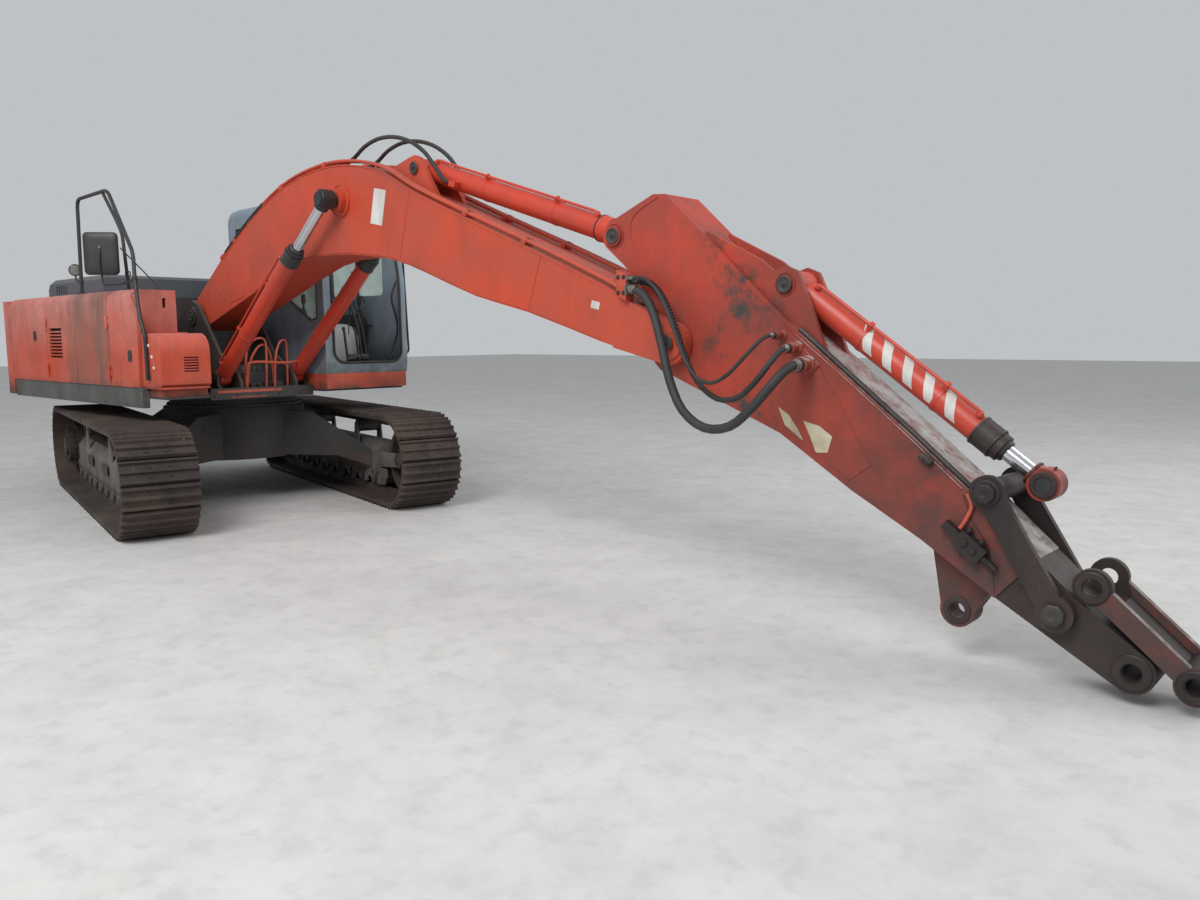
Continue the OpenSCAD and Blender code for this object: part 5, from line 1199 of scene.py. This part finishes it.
# Hood and counterweight.
# The hood is pressed sheet on a rubber edge, with grab handles, ribs and the exhaust's clamp on it.
# The counterweight is a painted casting with lifting eyes and tail lamps; wire mesh closes the vents.
HOOD = weathered("blue_black", (0.065, 0.078, 0.095), (0.095, 0.108, 0.125), (0.1, 0.085, 0.07), 0.28,
                 rough=0.5, dust=(DUST, 0.35))
paint(HOOD, "engine_hood")
hood_bits = Piece("hood_fittings", "hood", BLACK)
for y in (-0.62, 0.62):
    hood_bits.bent([(-1.06, y, 2.3358), (-1.06, y, 2.38), (-0.94, y, 2.38), (-0.94, y, 2.3358)],
                   0.02, 0.007, 12)
for x in (-1.98, -1.3, -1.02):
    hood_bits.slab(-0.8, 1.94, (x - 0.01, 2.3355), (x + 0.01, 2.3355), (x + 0.006, 2.3415),
                   (x - 0.006, 2.3415))
for i in range(8):
    x = -2.15 + 0.07 * i
    hood_bits.slab(0.25, 0.56, (x - 0.006, 2.3355), (x - 0.002, 2.3355), (x + 0.012, 2.3475),
                   (x + 0.008, 2.3475))
hood_bits.turned((-1.25, 0.9, 2.3475), Z, ((0, 0.0605), (0.001, 0.068), (0.024, 0.068), (0.025, 0.0605)), 32)
hood_bits.done(bevel=0.001)
Piece("hood_seal", "house", RUBBER).tube([(-0.8745, -0.88, 2.1158), (-0.8745, 1.1, 2.1158)], 0.0045, 8).done()

weight = Piece("counterweight_eyes", "house", ORANGE)
for y in (-0.78, 0.78):
    arch = [(-2.62, y + d, z) for d, z in ((-0.07, 2.088), (-0.07, 2.165), (0.07, 2.165), (0.07, 2.088))]
    weight.bent(arch, 0.055, 0.016, 14)
weight.done()

tail = Piece("tail_lamps", "house", LAMP)
for side in SIDES:
    tail.turned((-2.88, side * 0.62, 1.8), (-1, side * 0.2, 0),
                ((-0.03, 0.05), (0.03, 0.05), (0.036, 0.044), (0.04, 0.03), (0.042, 0)), 26)
tail.done()

mesh_bits = Piece("vent_mesh", "house", BLACK)
for side in SIDES:
    y = side * 1.318
    for i in range(29):
        x = -1.237 + i * 0.0121
        mesh_bits.block((x - 0.0012, y - 0.0012, 1.478), (x + 0.0012, y + 0.0012, 1.777))
    for k in range(18):
        z = 1.486 + k * 0.0168
        mesh_bits.block((-1.239, y - 0.003, z - 0.0012), (-0.891, y - 0.0006, z + 0.0012))
mesh_bits.done()


# Cab.
# A welded sheet shell in blue grey, whose tinted panes sit in rubber seals; the windscreen is open.
# It gets its seals, wiper, door handles, roof plate and lamp, and the black plastic trim inside.
def glass(name, colour):
    m, t = new_material(name)
    tint = mix(t, ramp(t, noise(t, 3.0, 6.0), 0.4, 0.75), colour, tuple(c * 0.6 for c in colour))
    surface(t, {"Base Color": tint, "Roughness": ramp(t, noise(t, 5.0, 8.0), 0.45, 0.8, 0.03, 0.35),
                "Transmission Weight": 0.9, "IOR": 1.1})
    return m


GREY = weathered("cab_grey", (0.2, 0.27, 0.33), (0.25, 0.31, 0.36), (0.09, 0.085, 0.075), 0.32,
                 low=(1.2, 1.6), rough=0.55, chips=(0.06, 0.05, 0.05), chip_share=0.01)
GLASS = glass("cab_glass", (0.66, 0.76, 0.7))
paint(GREY, "cab_shell cab_door")
paint(GLASS, "cab_windows door_window")

seals = Piece("cab_seals", "house", RUBBER)
wind = loop((0, 0.835, 2.167), Y, Z, 0.82, 1.506, 0.12, 8)
dense = []  # the loop in short steps, laid on the front, which leans back more above the bend
for a, b in zip(wind, wind[1:] + wind[:1]):
    steps = max(1, int((b - a).length / 0.08))
    for k in range(steps):
        q = a + (b - a) * (k / steps)
        rise = max(0.0, (q.z - 1.414) / 0.836)
        q.x = 1.271 - 0.015 * rise if q.z < 2.25 else 1.256 - (q.z - 2.25) * 0.1875
        dense.append(q)
seals.tube(dense, 0.015, 10, closed=True)
seals.tube(loop((-0.395, 1.3195, 2.495), X, Z, 0.196, 0.716, 0.062, 5), 0.007, 8, closed=True)
seals.tube(loop((-0.5995, 0.825, 2.495), Y, Z, 0.796, 0.716, 0.12, 6), 0.008, 8, closed=True)
right_glass = [(-0.43, 2.09), (0.56, 2.08), (1.01, 1.84), (1.13, 1.86), (1.13, 2.25), (1.01, 2.85),
               (-0.43, 2.85)]
seals.tube(cornered(flat(0.33, *right_glass, right_glass[0]), 0.03, 3)[:-1], 0.007, 8, closed=True)
seals.done(angle=60)

door_seal = Piece("door_seal", "cab_door_leaf", RUBBER)
door_seal.tube(loop((0.405, 1.32, 2.465), X, Z, 1.014, 0.694, 0.064, 6), 0.007, 8, closed=True)
door_seal.done(angle=60)

door_bits = Piece("door_fittings", "cab_door_leaf", BLACK)
door_bits.block((0.398, 1.29, 2.125), (0.424, 1.3175, 2.805))
door_bits.prism(loop((0.905, 1.3203, 1.985), X, Z, 0.07, 0.15, 0.02, 4), (0, 0.004, 0))
door_bits.bent([(0.905, 1.324, 2.04), (0.905, 1.35, 2.035), (0.905, 1.35, 1.935), (0.905, 1.324, 1.93)],
               0.015, 0.007, 10)
door_bits.bent([(0.16, 1.283, 1.8), (0.16, 1.25, 1.8), (0.7, 1.25, 1.8), (0.7, 1.283, 1.8)], 0.03, 0.01, 10)
door_bits.done(bevel=0.001)

wiper = Piece("wiper", "house", BLACK)
wiper.block((1.2713, 0.585, 1.462), (1.29, 0.815, 1.5))
wiper.tube([(1.29, 0.735, 1.49), (1.288, 0.7, 1.76), (1.276, 0.61, 2.04)], 0.01, 8)
wiper.tube([(1.29, 0.79, 1.49), (1.288, 0.755, 1.76), (1.278, 0.662, 2.04)], 0.009, 8)
wiper.tube([(1.28, 0.59, 1.7), (1.276, 0.628, 2.03), (1.262, 0.668, 2.33)], 0.006, 8)
wiper.turned((1.268, 0.735, 1.485), X, ((0, 0.026), (0.018, 0.026), (0.028, 0.018), (0.03, 0)), 20)
wiper.done(bevel=0.001)

inner = Piece("cab_inner_trim", "house", BLACK)
inner.tube(curve_through([(1.195, 1.268, 2.48), (1.2, 1.268, 2.3), (1.2, 1.19, 2.08), (1.2, 1.255, 1.76),
                          (1.2, 1.14, 1.42)], 6), 0.012, 12)
inner.bent([(1.19, 0.64, 2.02), (1.15, 0.64, 2.09), (1.15, 0.86, 2.09), (1.19, 0.86, 2.02)], 0.025, 0.01, 10)
inner.prism([(1.205, 0.385, 1.345), (1.205, 1.265, 1.345), (1.205, 1.265, 1.4),
             (1.205, 0.385, 1.4)], (-0.02, 0, 0))
inner.slab(0.38, 0.89, (-0.555, 1.345), (-0.25, 1.345), (-0.25, 1.76), (-0.555, 1.9))
inner.slab(0.385, 0.05, (0.72, 1.7), (1.02, 1.5), (1.1, 1.5), (1.1, 1.56), (0.78, 1.79), (0.72, 1.79))
inner.slab(0.392, 0.15, (1.02, 2.02), (1.1, 2.02), (1.13, 2.23), (1.05, 2.23))
inner.done(bevel=0.004, segments=2)

roof = Piece("roof_fittings", "house", GREY)
roof.slab(0.47, 0.71, (-0.34, 3.0803), (0.86, 3.0803), (0.8, 3.094), (-0.28, 3.094))
for y in (0.6, 0.82, 1.04):
    roof.prism([(-0.24, y - 0.02, 3.094), (0.74, y - 0.02, 3.094), (0.74, y - 0.012, 3.101),
                (-0.24, y - 0.012, 3.101)], (0, 0.04, 0))
roof.done(bevel=0.003, segments=2)

roof_lamp = Piece("cab_lamp", "house", BLACK)
roof_lamp.turned((0.985, 0.46, 3.02), (1, 0, -0.12), ((-0.05, 0.018), (-0.044, 0.036), (-0.01, 0.048),
                                                      (0.018, 0.05), (0.02, 0.044), (0.012, 0.042)), 24)
roof_lamp.tube([(0.965, 0.46, 2.974), (0.96, 0.46, 2.985), (0.955, 0.46, 3.01)], 0.008, 8)
roof_lamp.done()
cab_bolts = [(V((x, 1.3153, 1.226)), Y) for x in (-0.45, 0.0, 0.45, 0.9)]
bolts("cab_base_bolts", "house", cab_bolts, 0.009, 0.007, 0.013, ORANGE)


# Seat.
# Cushion and back under a loose white cloth, on a steel pedestal with a bellows.
# Beside it stand two consoles with arm rests and levers in gaiters, before it two pedals.
COVER = weathered("seat_cover", (0.62, 0.62, 0.61), (0.5, 0.5, 0.49), (0.28, 0.26, 0.23), 0.28, rough=0.75,
                  bump=0.6, fine=22.0)
random.seed(7)
WAVES = 5


def puffed(name, middle, size, bend, lump):
    """A crowned closed pad: a box pulled in towards its edges, subdivided, with shallow folds."""
    bm = bmesh.new()
    bmesh.ops.create_cube(bm, size=1.0)
    bmesh.ops.subdivide_edges(bm, edges=bm.edges[:], cuts=9, use_grid_fill=True)
    waves = [(V([random.uniform(5, 15) for _ in range(3)]), random.uniform(0, 6.28)) for _ in range(WAVES)]
    for v in bm.verts:
        q = v.co * 2
        crown = [1 - 0.16 * (q[(k + 1) % 3] ** 4 + q[(k + 2) % 3] ** 4) for k in range(3)]
        p = V([q[k] * crown[k] * size[k] / 2 for k in range(3)])
        fold = sum(sin(w.dot(p) + a) for w, a in waves) * lump / WAVES
        p += p.normalized() * fold
        p.x += bend * (p.z / size[2]) ** 2
        v.co = p + V(middle)
    mesh = bpy.data.meshes.new(name)
    bm.to_mesh(mesh)
    bm.free()
    host = link(bpy.data.objects.new(name, mesh))
    mod = host.modifiers.new("round", "SUBSURF")
    mod.levels = mod.render_levels = 1
    made = applied(host)
    settle(made, COVER, 80)
    hand_over(name, made, "house")


puffed("seat_cushion", (0.41, 0.825, 1.712), (0.57, 0.52, 0.14), 0.0, 0.012)
puffed("seat_back", (0.11, 0.825, 2.06), (0.15, 0.47, 0.6), -0.02, 0.014)
puffed("seat_drape", (0.6, 0.865, 1.585), (0.25, 0.5, 0.45), -0.05, 0.03)

carrier = Piece("seat_frame", "house", DARK)
carrier.slab(0.61, 0.43, (0.165, 1.3405), (0.6, 1.3405), (0.6, 1.4), (0.165, 1.4))
for k in range(6):
    z = 1.402 + k * 0.036
    fold = 0.02 * (k % 2)
    carrier.prism(loop((0.385, 0.825, z), X, Y, 0.36 - fold, 0.34 - fold, 0.05, 4), (0, 0, 0.032))
carrier.block((0.15, 0.6, 1.62), (0.64, 1.05, 1.642))
carrier.slab(0.64, 0.37, (0.06, 1.64), (0.11, 1.64), (0.04, 1.94), (0.01, 1.94))
for y in (0.43, 1.11):
    carrier.slab(y, 0.11, (0.17, 1.3405), (0.55, 1.3405), (0.69, 1.84), (0.67, 1.888), (0.15, 1.868))
    carrier.slab(y + 0.01, 0.09, (0.16, 1.87), (0.54, 1.884), (0.54, 1.918), (0.18, 1.918))
    for k in range(5):
        carrier.turned((0.63, y + 0.055, 1.886 + 0.018 * k), Z,
                       ((0, 0.04 - 0.005 * k), (0.009, 0.044 - 0.005 * k), (0.018, 0.036 - 0.005 * k)), 20)
    carrier.tube([(0.63, y + 0.055, 1.93), (0.634, y + 0.055, 2.03)], 0.009, 12)
    carrier.turned((0.632, y + 0.055, 2.02), (0.05, 0, 1), ((0, 0.012), (0.01, 0.022), (0.04, 0.025),
                                                            (0.075, 0.022), (0.095, 0.024),
                                                            (0.1, 0.016), (0.1, 0)), 18)
carrier.block((0.94, 0.645, 1.3405), (1.12, 1.005, 1.36))
for y in (0.755, 0.895):
    carrier.slab(y - 0.045, 0.09, (0.96, 1.37), (1.11, 1.44), (1.106, 1.45), (0.955, 1.381))
    carrier.slab(y - 0.01, 0.02, (1.0, 1.38), (1.022, 1.38), (0.958, 1.756), (0.936, 1.75))
    carrier.turned((0.946, y, 1.74), (-0.25, 0, 1),
                   ((0, 0.011), (0.006, 0.017), (0.03, 0.018), (0.036, 0.012), (0.036, 0)), 16)
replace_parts(carrier.done(bevel=0.003), "operator_seat")
